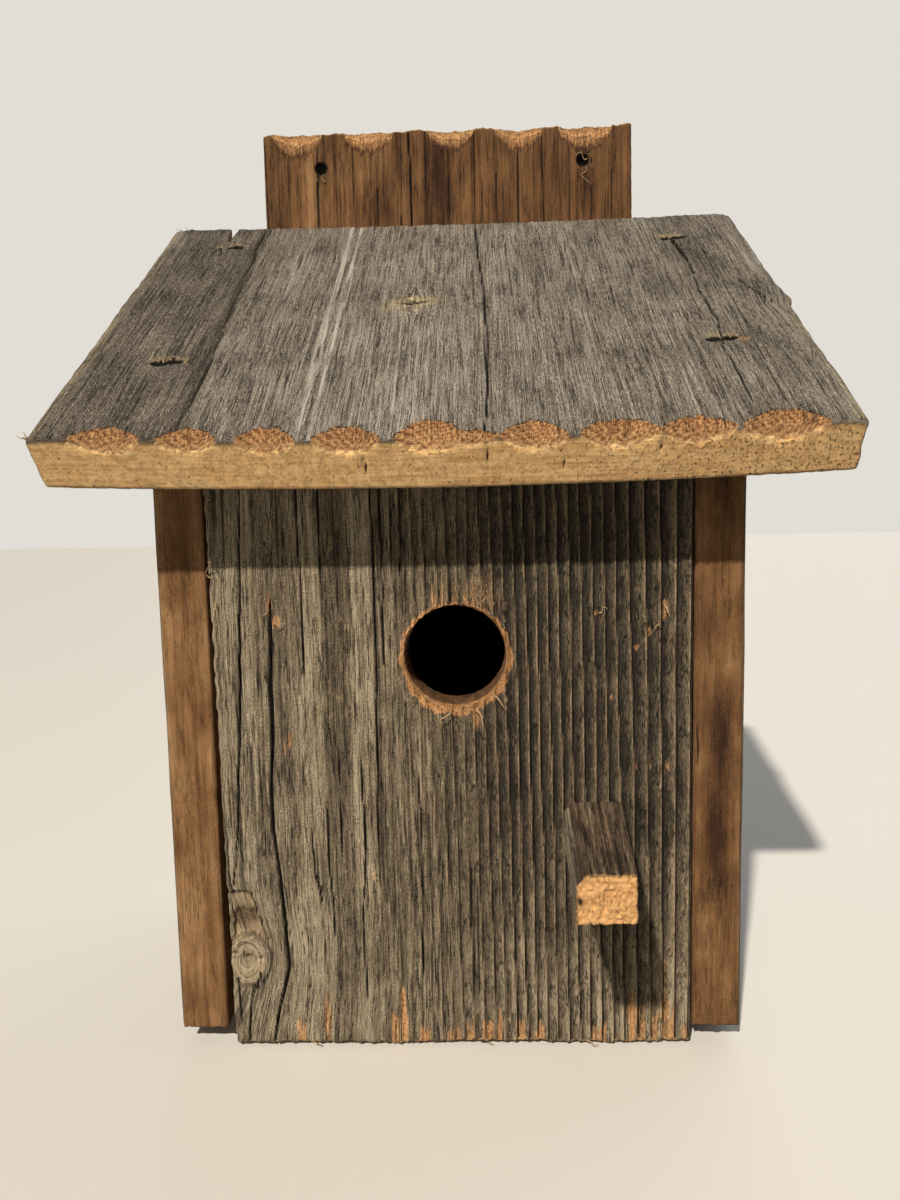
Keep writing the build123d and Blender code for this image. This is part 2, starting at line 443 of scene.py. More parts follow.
class Maker:
    """Builds one material around a Principled shader."""

    def __init__(self, name, roughness=0.9, specular=0.25):
        self.material = bpy.data.materials.new(name)
        self.material.use_nodes = True
        self.tree = self.material.node_tree
        self.shader = self.tree.nodes["Principled BSDF"]
        values = {"Roughness": roughness, "Specular IOR Level": specular, "Metallic": 0.0}
        self.set(self.shader, values)

    def set(self, node, values):
        for key, value in values.items():
            socket = node.inputs[key]
            if isinstance(value, Signal):
                value = value.socket
            if isinstance(value, bpy.types.NodeSocket):
                self.tree.links.new(value, socket)
            else:
                socket.default_value = value

    def node(self, kind, settings=None, values=None):
        """Any node: its type, its settings, which are set first, and its sockets' values or links."""
        node = self.tree.nodes.new(kind)
        for key, value in (settings or {}).items():
            if key == "stops":
                while len(node.color_ramp.elements) < len(value):
                    node.color_ramp.elements.new(0.5)
                for element, (place, shade) in zip(node.color_ramp.elements, value):
                    element.position, element.color = place, shade
            else:
                setattr(node, key, value)
        self.set(node, values or {})
        return node

    def attribute(self, name):
        return self.node("ShaderNodeAttribute", {"attribute_name": name}).outputs["Vector"]

    def split(self, vector):
        node = self.node("ShaderNodeSeparateXYZ", None, {0: vector})
        return [Signal(self, out) for out in node.outputs]

    def stretch(self, vector, scale):
        settings = {"operation": "MULTIPLY"}
        return self.node("ShaderNodeVectorMath", settings, {0: vector, 1: scale}).outputs[0]

    def noise(self, vector, scale, detail=3.0, roughness=0.55):
        """Noise from 0 to 1 over a vector that is first stretched by scale."""
        values = {"Scale": 1.0, "Detail": detail, "Roughness": roughness}
        node = self.node("ShaderNodeTexNoise", None, {"Vector": self.stretch(vector, scale), **values})
        return Signal(self, node.outputs[0])

    def ramp(self, signal, *stops):
        return self.node("ShaderNodeValToRGB", {"stops": stops}, {0: signal}).outputs[0]

    def mix(self, share, first, second):
        settings = {"data_type": "RGBA", "clamp_factor": True}
        return self.node("ShaderNodeMix", settings, {0: share, 6: first, 7: second}).outputs[2]

    def finish(self, colour, height, distance):
        bump = self.node("ShaderNodeBump", None, {"Height": height, "Distance": distance, "Strength": 1.0})
        self.set(self.shader, {"Base Color": colour, "Normal": bump.outputs[0]})
        return self.material


def board_wood(name, palette, ends="end", rim="crest", contrast=1.0, combed=1.0, streaked=1.0,
               veined=1.0, fine=(2.4, 0.14), comb_scale=(1.35, 0.022), groove=(0.34, 0.012, 0.022)):
    """Wood of one board: grey weathering, brown bare faces, fresh breaks, end grain and cracks.

    Short and long noise along the grain gives fibres and streaks, the line where a stretched
    noise crosses its middle value gives thin dark grooves, round noise gives stains, and the
    marks on the mesh say where each kind of surface lies. contrast, combed, streaked and veined
    are the strengths of the fibres and flecks, the comb, the long streaks and the grooves. fine,
    comb_scale and groove hold cycles a millimetre across and along the grain, and groove ends
    with the width of its lines.
    """
    m = Maker(name)
    grain = m.attribute("grain")
    fresh, gap, crest = m.split(m.attribute("breaks"))
    bare, end, tone = m.split(m.attribute("faces"))
    fibre = m.noise(grain, (fine[0], fine[1], fine[0]), 4.0, 0.65)
    streak = m.noise(grain, (0.55, 0.014, 0.55), 5.0, 0.65)
    stain = m.noise(grain, (0.06, 0.022, 0.06), 4.0, 0.6)
    speck = m.noise(grain, (3.4, 1.1, 3.4), 2.0, 0.6)
    along_grain = 1.0 - end
    comb = m.noise(grain, (comb_scale[0], comb_scale[1], comb_scale[0]), 2.0, 0.5) * along_grain
    hollow = m.noise(grain, (groove[0], groove[1], groove[0]), 5.0, 0.72).near(0.5, groove[2]) * veined
    hollow = hollow * (0.25 + m.noise(grain, (0.3, 0.05, 0.3), 2.0).rise(0.42, 0.6))
    shade = 0.5 + contrast * ((fibre - 0.5) * 1.3 + (streak - 0.5) * streaked + (speck - 0.5) * 1.3)
    shade = shade + (comb - 0.5) * combed
    shade = shade + (stain - 0.5) * 0.7 + tone * 0.4 - hollow * 0.3
    dark, middle, light = (paint(f"{palette}_{part}") for part in ("dark", "mid", "light"))
    grey = m.ramp(shade, (0.1, dark), (0.5, middle), (0.95, light))
    warm = 0.5 + (fibre - 0.5) * (0.7 * veined) + (streak - 0.5) * (1.1 * veined)
    warm = warm + (stain - 0.5) * 1.2 + (speck - 0.5) * 0.7
    warm = warm + tone * 0.4 - hollow * 0.2
    brown = m.ramp(warm, (0.08, paint("bare_dark")), (0.5, paint("bare_mid")), (0.92, paint("bare_light")))
    pores = m.noise(grain, (1.5, 0.4, 1.1), 3.0, 0.7)
    rings = m.noise(grain, (0.04, 0.01, 0.8), 2.0, 0.6)
    pits = (m.noise(grain, (0.95, 0.5, 0.7), 2.0, 0.6) + tone * 0.07).rise(0.645, 0.7) * end
    cut = 0.5 + (pores - 0.5) * 0.9 + (rings - 0.5) * 1.0
    sawn_end = m.ramp(cut, (0.3, paint(f"{ends}_dark")), (0.62, paint(f"{ends}_light")))
    # Torn fresh wood: flecks lighter and darker over its grain, partly painted highlight and painted shade
    chips = m.noise(grain, (0.95, 0.55, 0.95), 3.0, 0.7)
    torn = 0.5 + (chips - 0.5) * 1.5 + (fibre - 0.5) * 0.9 + tone * 0.3
    new = m.ramp(torn, (0.15, paint("fresh_dark")), (0.9, paint("fresh_light")))
    colour = m.mix(bare, grey, brown)
    colour = m.mix(end, colour, sawn_end)
    # Light edges: worn wood, partly painted highlights on the panel's ridges
    colour = m.mix(crest * (speck + fibre - 0.35).rise(0.45, 0.8), colour, paint(rim))
    colour = m.mix((fresh + (fibre - 0.5) * 1.4 * fresh.rise(0.0, 0.2)).rise(0.2, 0.75), colour, new)
    # Dark of cracks and pits, with the painted shadow and painted shade that the same mark carries
    colour = m.mix(gap.larger(pits * 0.55).rise(0.1, 0.8), colour, paint("crack"))
    height = fibre * 0.6 + speck * 0.4 + streak * 0.4 + comb * (0.5 * combed) - hollow * 0.8
    height = height * (0.25 + along_grain) - pits * 1.2 + chips * fresh
    return m.finish(colour, height, 0.0007)


def metal(name, share_rusted):
    """Dull wire or nail steel with patches of rust."""
    m = Maker(name, roughness=0.6, specular=0.5)
    place = m.node("ShaderNodeTexCoord").outputs["Object"]
    patches = m.noise(place, (400.0, 400.0, 400.0), 4.0, 0.6)
    grit = m.noise(place, (3000.0, 3000.0, 3000.0), 3.0, 0.6)
    rusted = (patches + share_rusted - 0.5).rise(0.4, 0.6)
    colour = m.mix(rusted, paint("steel"), paint("rust"))
    colour = m.mix(grit * 0.5, colour, paint("crack"))
    m.set(m.shader, {"Metallic": (1.0 - rusted) * 0.8})
    return m.finish(colour, grit + patches, 0.0002)


# ---------------------------------------------------------------- pieces

class Undoable:
    """What every operator here shares: it is listed and can be undone."""

    bl_options = {"REGISTER", "UNDO"}


def put(name, points, faces, body, nodes, slot, material, marks=None):
    """Makes a piece of the house from points in millimetres, attaches it to its body and hides the parts of
    the frame that it stands for.
    """
    mesh = bpy.data.meshes.new(name)
    mesh.from_pydata((points * MM).tolist(), [], faces)
    if marks is not None:
        layers = {
            "grain": marks.grain,
            "breaks": stack(marks.fresh, marks.gap, marks.crest),
            "faces": stack(marks.bare, marks.end, marks.tone),
        }
        for key, values in layers.items():
            layer = mesh.attributes.new(key, "FLOAT_VECTOR", "POINT")
            layer.data.foreach_set("vector", values.astype(np.float32).ravel())
    mesh.polygons.foreach_set("use_smooth", np.ones(len(mesh.polygons), bool))
    mesh.set_sharp_from_angle(angle=SHARP_ANGLE)
    mesh.materials.append(material)
    mesh.update()
    if mesh.validate():
        raise RuntimeError(f"{name} has broken faces")
    piece = bpy.data.objects.new(name, mesh)
    bpy.context.scene.collection.objects.link(piece)
    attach(piece, body)
    if nodes:
        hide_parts(*nodes)
    return piece


def world(points, origin, across, along, into):
    """From a board's own a, b, c to the frame: origin + a * across + b * along + c * into."""
    return np.asarray(origin) + points @ np.array([across, along, into], float)


def arch(x, centre, half):
    """The front edge of a round gouge: 1 at its middle, falling like a circle to 0 at half."""
    u = np.clip(np.abs(x - centre) / half, 0, 1)
    return np.sqrt(1 - u**2) * (1 - 0.35 * u**2)


# Front panel: long cracks as (across, height) points, with widths
PANEL_CRACKS = [
    ([(-81, 234), (-83, 180), (-85.5, 129), (-87, 114), (-88, 97), (-90, 80), (-92.5, 66)], 1.1),
    ([(-70.5, 190), (-72, 131), (-73.4, 110), (-73.5, 93), (-72, 80), (-71, 67), (-70, 54), (-69, 35),
      (-71, 27), (-74, 16), (-77, -2)], 1.7),
    ([(-80, 33), (-84, 25.6), (-86, 17), (-88.5, 0)], 1.1),
    ([(-92.6, 31), (-91.6, 20), (-91.7, 8)], 0.9),
    ([(-51, 103), (-51, 75), (-49.5, 58), (-50, 46)], 0.9),
    ([(-58, 95), (-57, 76.5), (-54, 61)], 0.8),
    ([(-59, 250), (-58.5, 200), (-58, 150)], 0.8),
    ([(-50.5, 250), (-50.3, 215), (-50, 185)], 0.8),
    ([(-30, 250), (-29.4, 200), (-29.5, 150), (-30.5, 100), (-31, 60)], 0.9),
    ([(-26.6, 250), (-26, 200), (-26.5, 160)], 0.8),
    ([(-19, 250), (-18.6, 215), (-19, 198)], 0.8),
    ([(-45, 140), (-46, 110), (-45, 72)], 0.7),
    ([(-37, 130), (-36, 90), (-38, 52), (-37, 20)], 0.8),
    ([(-14, 120), (-13, 80), (-14, 30)], 0.8),
]
# Tones of the strips that the long cracks part: place across, lighter or darker
STRIP_PLACES = [-93, -79, -77.5, -60, -58, -51, -49.5, -41, -38.5, -31, -29, -20, -10, 0]
STRIP_TONES = [0.1, 0.15, -0.2, 0.0, 0.2, 0.05, -0.6, -0.35, 0.5, 0.3, -0.2, 0.05, -0.1, 0.0]
# Fresh wood where the bottom edge has splintered: across, height, half width
PANEL_SPLITS = [
    (-65, 12, 2.4), (-54, 24, 1.4), (-26, 17, 1.6), (-22, 26, 1.4), (-14, 9, 2.0), (-2, 11, 3.0),
    (5, 13, 2.0), (12, 12, 2.4), (17, 20, 1.2), (26, 14, 2.0), (33.5, 12, 2.0), (58, 11, 3.0),
    (71, 28, 1.2), (75, 20, 2.2), (80.5, 20, 1.8), (84, 36, 1.2), (87, 20, 2.2), (93, 12, 2.0),
]
# Fresh chips higher up: across, height, half width, half height
PANEL_CHIPS = [
    (-71, 185, 1.4, 5.0), (-69, 178, 2.0, 4.0), (-65, 131, 1.6, 3.5), (-67.5, 127, 1.0, 3.0),
    (57, 180, 1.2, 1.8), (84, 181, 1.7, 5.5), (78, 172, 1.3, 2.2), (73, 166, 1.2, 1.6),
    (63, 146, 0.9, 1.8), (78, 119, 0.9, 3.0), (73, 118.5, 1.2, 1.4), (85, 118, 1.2, 1.8),
    (84.5, 35, 1.2, 3.0), (-33, 74, 1.0, 1.8), (-29, 102, 1.0, 1.6), (10, 139, 2.2, 5.0),
]
PANEL_KNOT = (-87.0, 39.5)
RIDGE_PLACES = [-30.0, 22.3, 48.3, 66.2, 94.2]  # a ridge's crest lies at each of these, halfway up
RIDGE_NUMBERS = [-12.0, 0.0, 6.0, 10.0, 15.0]  # and these are the numbers of those ridges


def panel_ridges(a, b, marks):
    """Saw-tooth grain: between two crests the wood ramps out to the right, then drops back.

    Returns the number of the ridge at each point, which counts up to the right.
    """
    lean = 0.017 * (b - 130.0) * smooth(-a, -95.0, -70.0)
    swell = 3.0 * hump(b, 58.0, 26.0) * hump(a, -20.0, 12.0)
    number = np.interp(a + lean - swell + 0.4 * noise(a / 7.0, b / 38.0, 12), RIDGE_PLACES, RIDGE_NUMBERS)
    number = np.where(a < RIDGE_PLACES[0], RIDGE_NUMBERS[0] + (a - RIDGE_PLACES[0]) / 4.5, number)
    share = number - np.floor(number)
    height = np.interp(a, [-40, -24, -5, 12, 28, 96], [0.05, 0.35, 0.55, 0.75, 1.0, 1.0])
    height = height * (1.0 + 0.35 * noise(np.floor(number) * 1.7, b / 55.0, 13))
    marks.relief = wear("ridge_height") * height * (share**1.25 * (1 - smooth(share, 0.93, 1.0)) - 0.55)
    worn = 0.85 + 0.5 * noise(np.floor(number) * 2.3, b / 7.0, 14)
    # Light line on each crest: partly a worn edge, partly a painted highlight
    marks.crest += 1.6 * worn * height * smooth(share, 0.78, 0.9) * (1 - smooth(share, 0.96, 1.0))
    # Painted shadow: a dark line on both sides of each step, where each crest drops back
    marks.gap += 0.85 * height * (1 - smooth(share, 0.04, 0.19)) + 0.7 * height * smooth(share, 0.97, 1.0)
    # Painted shade: each ramp is darker at its foot, in the shadow of the step before it, and lighter
    # towards its crest
    marks.tone += 0.7 * height * (smooth(share, 0.1, 0.75) - 0.5)
    # The right half is darker: partly the wood's tone, partly painted shade of its ridges
    marks.tone -= 0.95 * smooth(a, -14.0, 26.0) * (1 - 0.2 * share)
    marks.tone += 0.2 * smooth(a, 60.0, 95.0) + 0.9 * smooth(-b, -100.0, -10.0) * smooth(a, -14.0, 26.0)
    return number


def panel_fibres(a, b, flow, marks):
    """Fine fibres, deepest on the left, and a comb of them along the left edge."""
    left = 1.0 - 0.6 * smooth(a, -30.0, 10.0)
    fibres = weather(flow, b, 20)
    marks.relief += wear("fibre_height") * 1.9 * left * fibres
    marks.raise_to("gap", left * 0.5 * smooth(-fibres, 0.36, 0.6))
    marks.tone += 0.35 * left * fibres
    strip = smooth(-a, 79.0, 84.0)
    comb = noise(flow / 0.85, b / 80.0, 24)
    marks.relief += 0.35 * strip * comb
    marks.raise_to("gap", strip * 0.6 * smooth(-comb, 0.3, 0.65))


def panel_knot(a, b, flow, number, marks):
    """The raised knot with its rings, its dark heart and a groove about it; returns its share."""
    knot_a, knot_b = PANEL_KNOT
    away = np.hypot((a - knot_a) / 1.0, (b - knot_b) / np.where(b > knot_b, 1.05, 1.35))
    knot = 1 - smooth(away, 8.0, 10.2)
    marks.gap *= 1 - smooth(-away, -12.0, -9.5)
    marks.relief += 1.3 * knot * (1 - 0.4 * smooth(away, 0, 8)) + 0.15 * knot * np.sin(away * 4.2)
    marks.raise_to("gap", 0.8 * hump(away, 10.6, 0.6) * smooth(a, -89.0, -82.0))
    marks.raise_to("gap", knot * 0.16 * smooth(np.sin(away * 4.2), 0.3, 1.0))
    turn = np.arctan2(b - knot_b, a - knot_a)
    heart = crack(a, b, [(-88.5, 37.5), (-88, 42), (-87.0, 48.0)], 0.7, 5)
    level = b - knot_b + 0.16 * (a - knot_a) - 1.0
    across = (1 - smooth(np.abs(level), 0.1, 0.6)) * smooth(9.0 - np.abs(a - knot_a), 0.0, 3.0)
    heart = np.maximum(heart, across)
    marks.relief -= 1.2 * heart * knot
    marks.raise_to("gap", 0.6 * heart * knot)
    marks.tone += 0.75 * knot
    marks.bare += 0.3 * knot
    marks.grain[:, 0] = np.where(knot > 0.5, away * 1.4 - 200, flow)
    marks.grain[:, 1] = np.where(knot > 0.5, turn * 14.0, np.where(number >= -5.0, 3.2 * b, b))
    return knot


def panel_ledge(a, b, knot, marks):
    """The broken ledge above the knot, at the left edge; returns its share."""
    edge = np.interp(b, [38, 41, 49, 58, 66], [-73.0, -74.5, -77.5, -81.0, -82.5])
    edge = edge + 0.8 * noise(b / 2.5, 0, 31)
    top = 68.0 + 0.9 * noise(a / 1.2, 0.5, 32)
    ledge = smooth(edge - a, 0.0, 0.9) * smooth(top - b, 0.0, 1.6) * smooth(b, 44.0, 48.0) * (1 - knot)
    second = smooth(59.0 + 1.5 * noise(a / 1.6, 0.2, 33) - b, 0.0, 1.2)
    marks.relief -= ledge * (1.8 + 1.4 * second)
    marks.gap *= 1 - 0.8 * ledge
    marks.bare += 0.35 * ledge
    # Lighter over the ledge, with a darker band just below its second step, which is painted shade
    marks.tone += ledge * (0.4 - 0.8 * hump(b, 56.0, 3.0))
    # A dark line just under the ledge's top edge is painted shadow; another dark line runs along its right
    # edge
    marks.raise_to("gap", ledge * (0.6 * hump(b, top - 0.8, 0.8) + 0.9 * hump(edge - a, 0.8, 0.8)))
    return ledge


def panel_lens(a, b, marks):
    """A lens of lifted grain right of the long crack."""
    middle = np.interp(b, [36, 51, 65], [-65.0, -62.0, -63.0])
    lens = smooth(1.0 - np.hypot((a - middle) / 7.0, (b - 52.0) / 16.0), 0.0, 0.25)
    marks.relief += 0.6 * lens
    marks.tone += 0.35 * lens


def panel_cracks(a, b, flow, whole, marks):
    """Long cracks, and short drying checks that stay where the surface is whole."""
    for place, (path, width) in enumerate(PANEL_CRACKS):
        deep = crack(a, b, path, width, 40 + place)
        marks.relief -= wear("crack_depth") * min(1.0, width / 1.4) * deep
        marks.raise_to("gap", np.minimum(1.0, 1.6 * deep))
    # Short drying checks, each a thin crack of its own
    rng = np.random.default_rng(77)
    for _ in range(60):
        x, z, long = rng.uniform(-78, 10), rng.uniform(4, 225), rng.uniform(14, 60)
        deep = crack(flow, b, [(x, z), (x + rng.uniform(-0.6, 0.6), z + long)], rng.uniform(0.6, 0.8), 6)
        marks.relief -= 0.7 * deep
        marks.raise_to("gap", 0.75 * deep * whole)


def panel_breaks(a, b, marks):
    """The splintered bottom edge, and chips and a tear of fresh wood."""
    for x, top, half in PANEL_SPLITS:
        reach = top * (0.75 + 0.35 * noise(a / 0.8, x, 51))
        torn = smooth(1 - np.abs(a - x) / (1.3 * half) + 0.25 * noise(a / 0.6, b / 5, 52), 0, 0.5)
        torn = torn * smooth(reach - (b - 2.0), 0.0, 3.0)
        marks.raise_to("fresh", (0.72 + 0.2 * math.sin(7.0 * x)) * torn)
        marks.relief -= 0.7 * torn
    for place, (x, z, half_a, half_b) in enumerate(PANEL_CHIPS):
        torn = patch(a, b, x, z, half_a, half_b, 60 + place)
        marks.raise_to("fresh", 0.62 * torn)
        marks.relief -= 0.4 * torn
    tear = smooth(b, 176.0, 184.0) * (1 - smooth(b, 184.0, 206.0))
    tear = tear * smooth(a, -12.0, -4.0) * (1 - smooth(a, 18.0, 26.0))
    marks.raise_to("fresh", tear * (0.42 + 0.35 * noise(a / 1.3, b / 30.0, 59)))


def panel_rim(a, b, marks):
    """The fuzzy rim of the entrance, widest below."""
    x, z, radius = ENTRANCE
    away, turn = np.hypot(a - x, b - z) - radius, np.arctan2(b - z, a - x)
    wide = 1.8 + 2.4 * (0.5 - 0.5 * np.sin(turn)) + 1.3 * layered(turn * 7.0, 1.0, 70)
    rim = smooth(wide - away + 0.9 * noise(a / 0.7, b / 3.0, 72), 0.0, 1.8)
    marks.raise_to("fresh", rim)
    marks.relief += rim * (0.35 * noise(a / 0.7, b / 2.2, 71) - 0.25)
    marks.gap *= 1 - 0.85 * rim


def panel_tones(a, b, flow, marks):
    """Strips between the cracks, a dark patch near the top and torn pale flakes."""
    marks.tone += np.interp(flow, STRIP_PLACES, STRIP_TONES) * (0.35 + 0.65 * smooth(b, 60.0, 130.0))
    marks.tone -= 0.5 * hump(a, -69.0, 6.0) * hump(b, 165.0, 45.0)
    marks.tone += 0.32 * smooth(-a, 30.0, 60.0)
    flakes = smooth(noise(a / 0.9, b / 3.2, 73), 0.45, 0.75) * hump(a, -44.0, 9.0) * smooth(b, 100.0, 150.0)
    marks.raise_to("crest", 0.9 * flakes)
    flakes = smooth(noise(a / 0.9, b / 3.0, 74), 0.4, 0.7) * hump(a, -56.0, 12.0) * hump(b, 78.0, 16.0)
    marks.raise_to("crest", 0.9 * flakes)
    marks.tone *= 1 - 0.6 * smooth(marks.fresh, 0.1, 0.5)


def panel_surface(a, b):
    """The marks of the front panel's outer face. Its fibres bend round the knot."""
    marks = Marks(a, b, 0 * a)
    knot_a, knot_b = PANEL_KNOT
    right = np.maximum(a - knot_a, 0)
    push = 9.0 * hump(b, knot_b, 20.0) * np.exp(-right / 17.0)
    push = push - 4.0 * hump(b, 0.0, 16.0) * np.exp(-right / 20.0)
    flow = a - push + 0.5 * noise(a / 14.0, b / 60.0, 11)
    number = panel_ridges(a, b, marks)
    panel_fibres(a, b, flow, marks)
    knot = panel_knot(a, b, flow, number, marks)
    ledge = panel_ledge(a, b, knot, marks)
    panel_lens(a, b, marks)
    panel_cracks(a, b, flow, (1 - knot) * (1 - ledge), marks)
    panel_breaks(a, b, marks)
    panel_rim(a, b, marks)
    panel_tones(a, b, flow, marks)
    return marks


def plain_sides(normal, front, rear, ends, edges):
    """The relief of all six faces as one sum, each by its share, and those shares."""
    share = facing(normal)
    relief = share["front"] * front + share["back"] * rear
    relief = relief + (share["low_b"] + share["high_b"]) * ends + (share["low_a"] + share["high_a"]) * edges
    return relief, share


class BIRDHOUSE_OT_front_panel(Undoable, bpy.types.Operator):
    """Swinging front board with deep raised grain, a knot and the entrance hole"""

    bl_idname = "birdhouse.front_panel"
    bl_label = "Front Panel"

    def execute(self, context):
        low, high = PANEL
        thick = high[1] - low[1]
        a = edged(low[0], high[0], 2, 0.4, 0.6)
        b = lines([low[2], 5, 36, 75, 139, 188, high[2] - 3, high[2]], [0.5, 2.4, 1.1, 3.6, 1.1, 3.6, 1.0])
        c = lines([0, 2, thick - 2, thick], [0.6, 3.5, 1.0])
        shell = Shell(a, b, c, [(*ENTRANCE, 2.5, 10)])
        a, b, c = shell.points.T
        surface, normal = shell.rounded(1.2)
        marks = panel_surface(a, b)
        rear = 0.25 * sawn(a, b, 80)
        ends = 0.25 * noise(a / 0.9, c / 0.9, 82)
        edges = 0.3 * weather(c, b, 83)
        relief, share = plain_sides(normal, marks.relief, rear, ends, edges)
        inside, _ = shell.wall()
        front_only = share["front"]
        marks.only(front_only, "gap", "crest", "bare")
        depth_fade = 1 - smooth(c, 1.0, 7.0)
        marks.fresh *= np.where(inside, 0, np.maximum(front_only, share["low_b"] * depth_fade))
        marks.raise_to("fresh", 0.3 * share["low_b"])
        marks.raise_to("end", 0.6 * share["low_b"])
        marks.raise_to("bare", np.maximum(share["back"], share["low_b"] * 0.8))
        # Hole wall: flared and torn at its mouth, brown further in
        x, z, radius = ENTRANCE
        turn = np.arctan2(b - z, a - x)
        away = np.hypot(a - x, b - z) - radius
        flare = 1.1 * (1 - smooth(c, 0.0, 2.5)) * (0.7 + 0.5 * layered(turn * 9.0, 3.0, 85))
        flare = (flare + 0.2 * noise(turn * 25.0, c / 4.0, 86)) * np.exp(-np.maximum(away, 0) / 1.4)
        out = np.stack([np.cos(turn), np.sin(turn), 0 * turn], axis=1)
        surface = surface + out * (flare * (away < 7.0))[:, None]
        marks.bare[inside] = 1.0
        marks.fresh[inside] = (1 - smooth(c, 1.5, 6.0))[inside] * 0.9
        relief[inside] = 0
        surface = surface + normal * relief[:, None]
        # Ragged bottom end, and the planed taper of the left edge
        ragged = 0.9 * noise(a / 2.4, 0.5, 87) + 0.7 * noise(a / 0.8, 0.5, 88)
        ragged += 1.1 * noise(a / 22.0, 0.5, 89)
        surface[:, 1] += wear("ragged_end") * ragged * (1 - smooth(b, low[2], low[2] + 6.0))
        taper = 2.2 * (high[2] - b) / (high[2] - low[2])
        chipped = 0.6 * np.maximum(noise(b / 2.5, c / 6.0, 90), -0.2)
        surface[:, 0] += (taper + chipped) * (1 - smooth(a, low[0], low[0] + 12.0))
        marks.grain[:, 2] = c
        material = board_wood("panel wood", "panel", contrast=0.95, combed=0.2, streaked=0.45)
        points = world(surface, (0, low[1], 0), (1, 0, 0), (0, 0, 1), (0, 1, 0))
        put("front_panel_worn", points, shell.quads, "door", ["front_panel"], "panel_wood", material, marks)
        return {"FINISHED"}


# Roof: cracks as (across, distance up the slope) points, with widths
ROOF_CRACKS = [
    ([(13, 222), (14, 178), (16, 139), (17, 74), (16, 22), (14.4, -2)], 1.2),
    ([(109, 188), (111.4, 154), (109.5, 120), (110.6, 87), (108, 63), (108.4, 37), (109, 9)], 1.0),
    ([(109, 187), (110, 176), (110.8, 163)], 3.2),
    ([(120, 214), (120.5, 150), (121.5, 100), (120.0, 40), (119.5, 12)], 0.9),
    ([(98, 170), (99.5, 120), (98, 66), (97.5, 14)], 0.9),
    ([(104, 150), (105.5, 112), (104, 84)], 0.9),
    ([(114, 62), (113.5, 42), (114, 24)], 0.9),
    ([(-96, 218), (-94, 135), (-92, 71), (-91, -2)], 0.9),
    ([(60, 190), (61, 130), (62, 92)], 0.8),
    ([(27, 205), (28.5, 150), (28, 120)], 0.8),
    ([(-60, 60), (-59, 30), (-60, 2)], 0.8),
    ([(-27, 88), (-26, 52), (-25, 18)], 0.9),
    ([(127, 134), (131, 120), (134, 110), (133, 104)], 1.1),
    ([(141, 106), (137, 105), (134, 103.5)], 1.0),
]
# Gouges along the roof's front edge: middle, half width, reach up the roof, reach down the end
ROOF_GOUGES = [
    (-116.5, 12.5, 8.5, 6.5), (-88.0, 10.5, 8.0, 6.0), (-61.0, 10.5, 9.0, 6.5), (-33.0, 12.0, 9.0, 6.5),
    (-4.0, 12.5, 13.0, 6.5), (11.0, 9.0, 5.0, 4.0), (31.5, 12.0, 9.5, 6.5), (61.0, 14.0, 9.5, 7.0),
    (87.0, 13.0, 9.0, 6.5), (116.0, 14.5, 10.0, 7.5),
]
ROOF_KNOT = (-14.7, 117.5)
# Small drying checks in the roof's front end: across, and from where to where in the thickness
END_CHECKS = [
    (-27.5, 7.0, 14.0), (14.6, -1.0, 9.0), (41.5, 9.0, 15.5), (74.0, 4.0, 8.0), (104.0, 6.5, 13.0),
]


def roof_fibres(a, b, flow, marks):
    """Fine fibres on shallow waves, darker in their hollows."""
    fibres = weather(flow, b, 120)
    waves = noise(flow / 3.2, b / 110.0, 124)
    marks.relief = wear("fibre_height") * (0.8 * fibres + 0.35 * waves)
    rough = 0.55 + 0.45 * noise(a / 30.0, b / 60.0, 125) + 0.4 * smooth(-a, 95.0, 130.0)
    marks.raise_to("gap", 0.22 * rough * smooth(-fibres, 0.36, 0.6))


def roof_cracks(a, b, flow, marks):
    """Short drying checks that follow the grain, and the long cracks."""
    rng = np.random.default_rng(177)
    for _ in range(110):
        x, y, long = rng.uniform(-140, 140), rng.uniform(4, 190), rng.uniform(8, 34)
        deep = crack(flow, b, [(x, y), (x + rng.uniform(-0.5, 0.5), y + long)], 0.75, 7)
        marks.relief -= 0.5 * deep
        marks.raise_to("gap", 0.6 * deep)
    for place, (path, width) in enumerate(ROOF_CRACKS):
        deep = crack(a, b, path, max(1.1, width), 140 + place)
        marks.relief -= wear("crack_depth") * min(1.2, 0.5 * width) * deep
        marks.raise_to("gap", np.minimum(1.0, 1.5 * deep) * (0.6 if width < 0.95 else 1.0))


def roof_knot(a, b, marks):
    """A flat lens with a dark slit, in a halo of straw-coloured fibres."""
    knot_a, knot_b = ROOF_KNOT
    tilted = b - knot_b - 0.16 * (a - knot_a)
    away = np.hypot((a - knot_a) / 11.5, tilted / 6.2)
    knot = 1 - smooth(away, 0.75, 1.1)
    marks.relief += 0.8 * knot
    slit = 1 - smooth(np.hypot((a - knot_a - 0.5) / 9.0, (tilted + 0.4) / 1.5), 0.5, 1.1)
    second = 1 - smooth(np.hypot((a - knot_a + 2) / 5.0, (tilted - 2.4) / 0.6), 0.6, 1.1)
    slit = np.maximum(slit, 0.8 * second)
    marks.relief -= 1.3 * slit
    marks.raise_to("gap", 0.95 * slit)
    marks.raise_to("gap", 0.5 * hump(away, 1.1, 0.07) * smooth(noise(a / 3.0, b / 3.0, 126), -0.4, 0.4))
    halo = 0.8 - 0.8 * smooth(away, 1.0, 1.8)
    marks.crest += 1.1 * np.maximum(knot, halo * smooth(noise(a / 1.2, b / 5.0, 127), -0.4, 0.5))
    marks.tone += 0.3 * knot


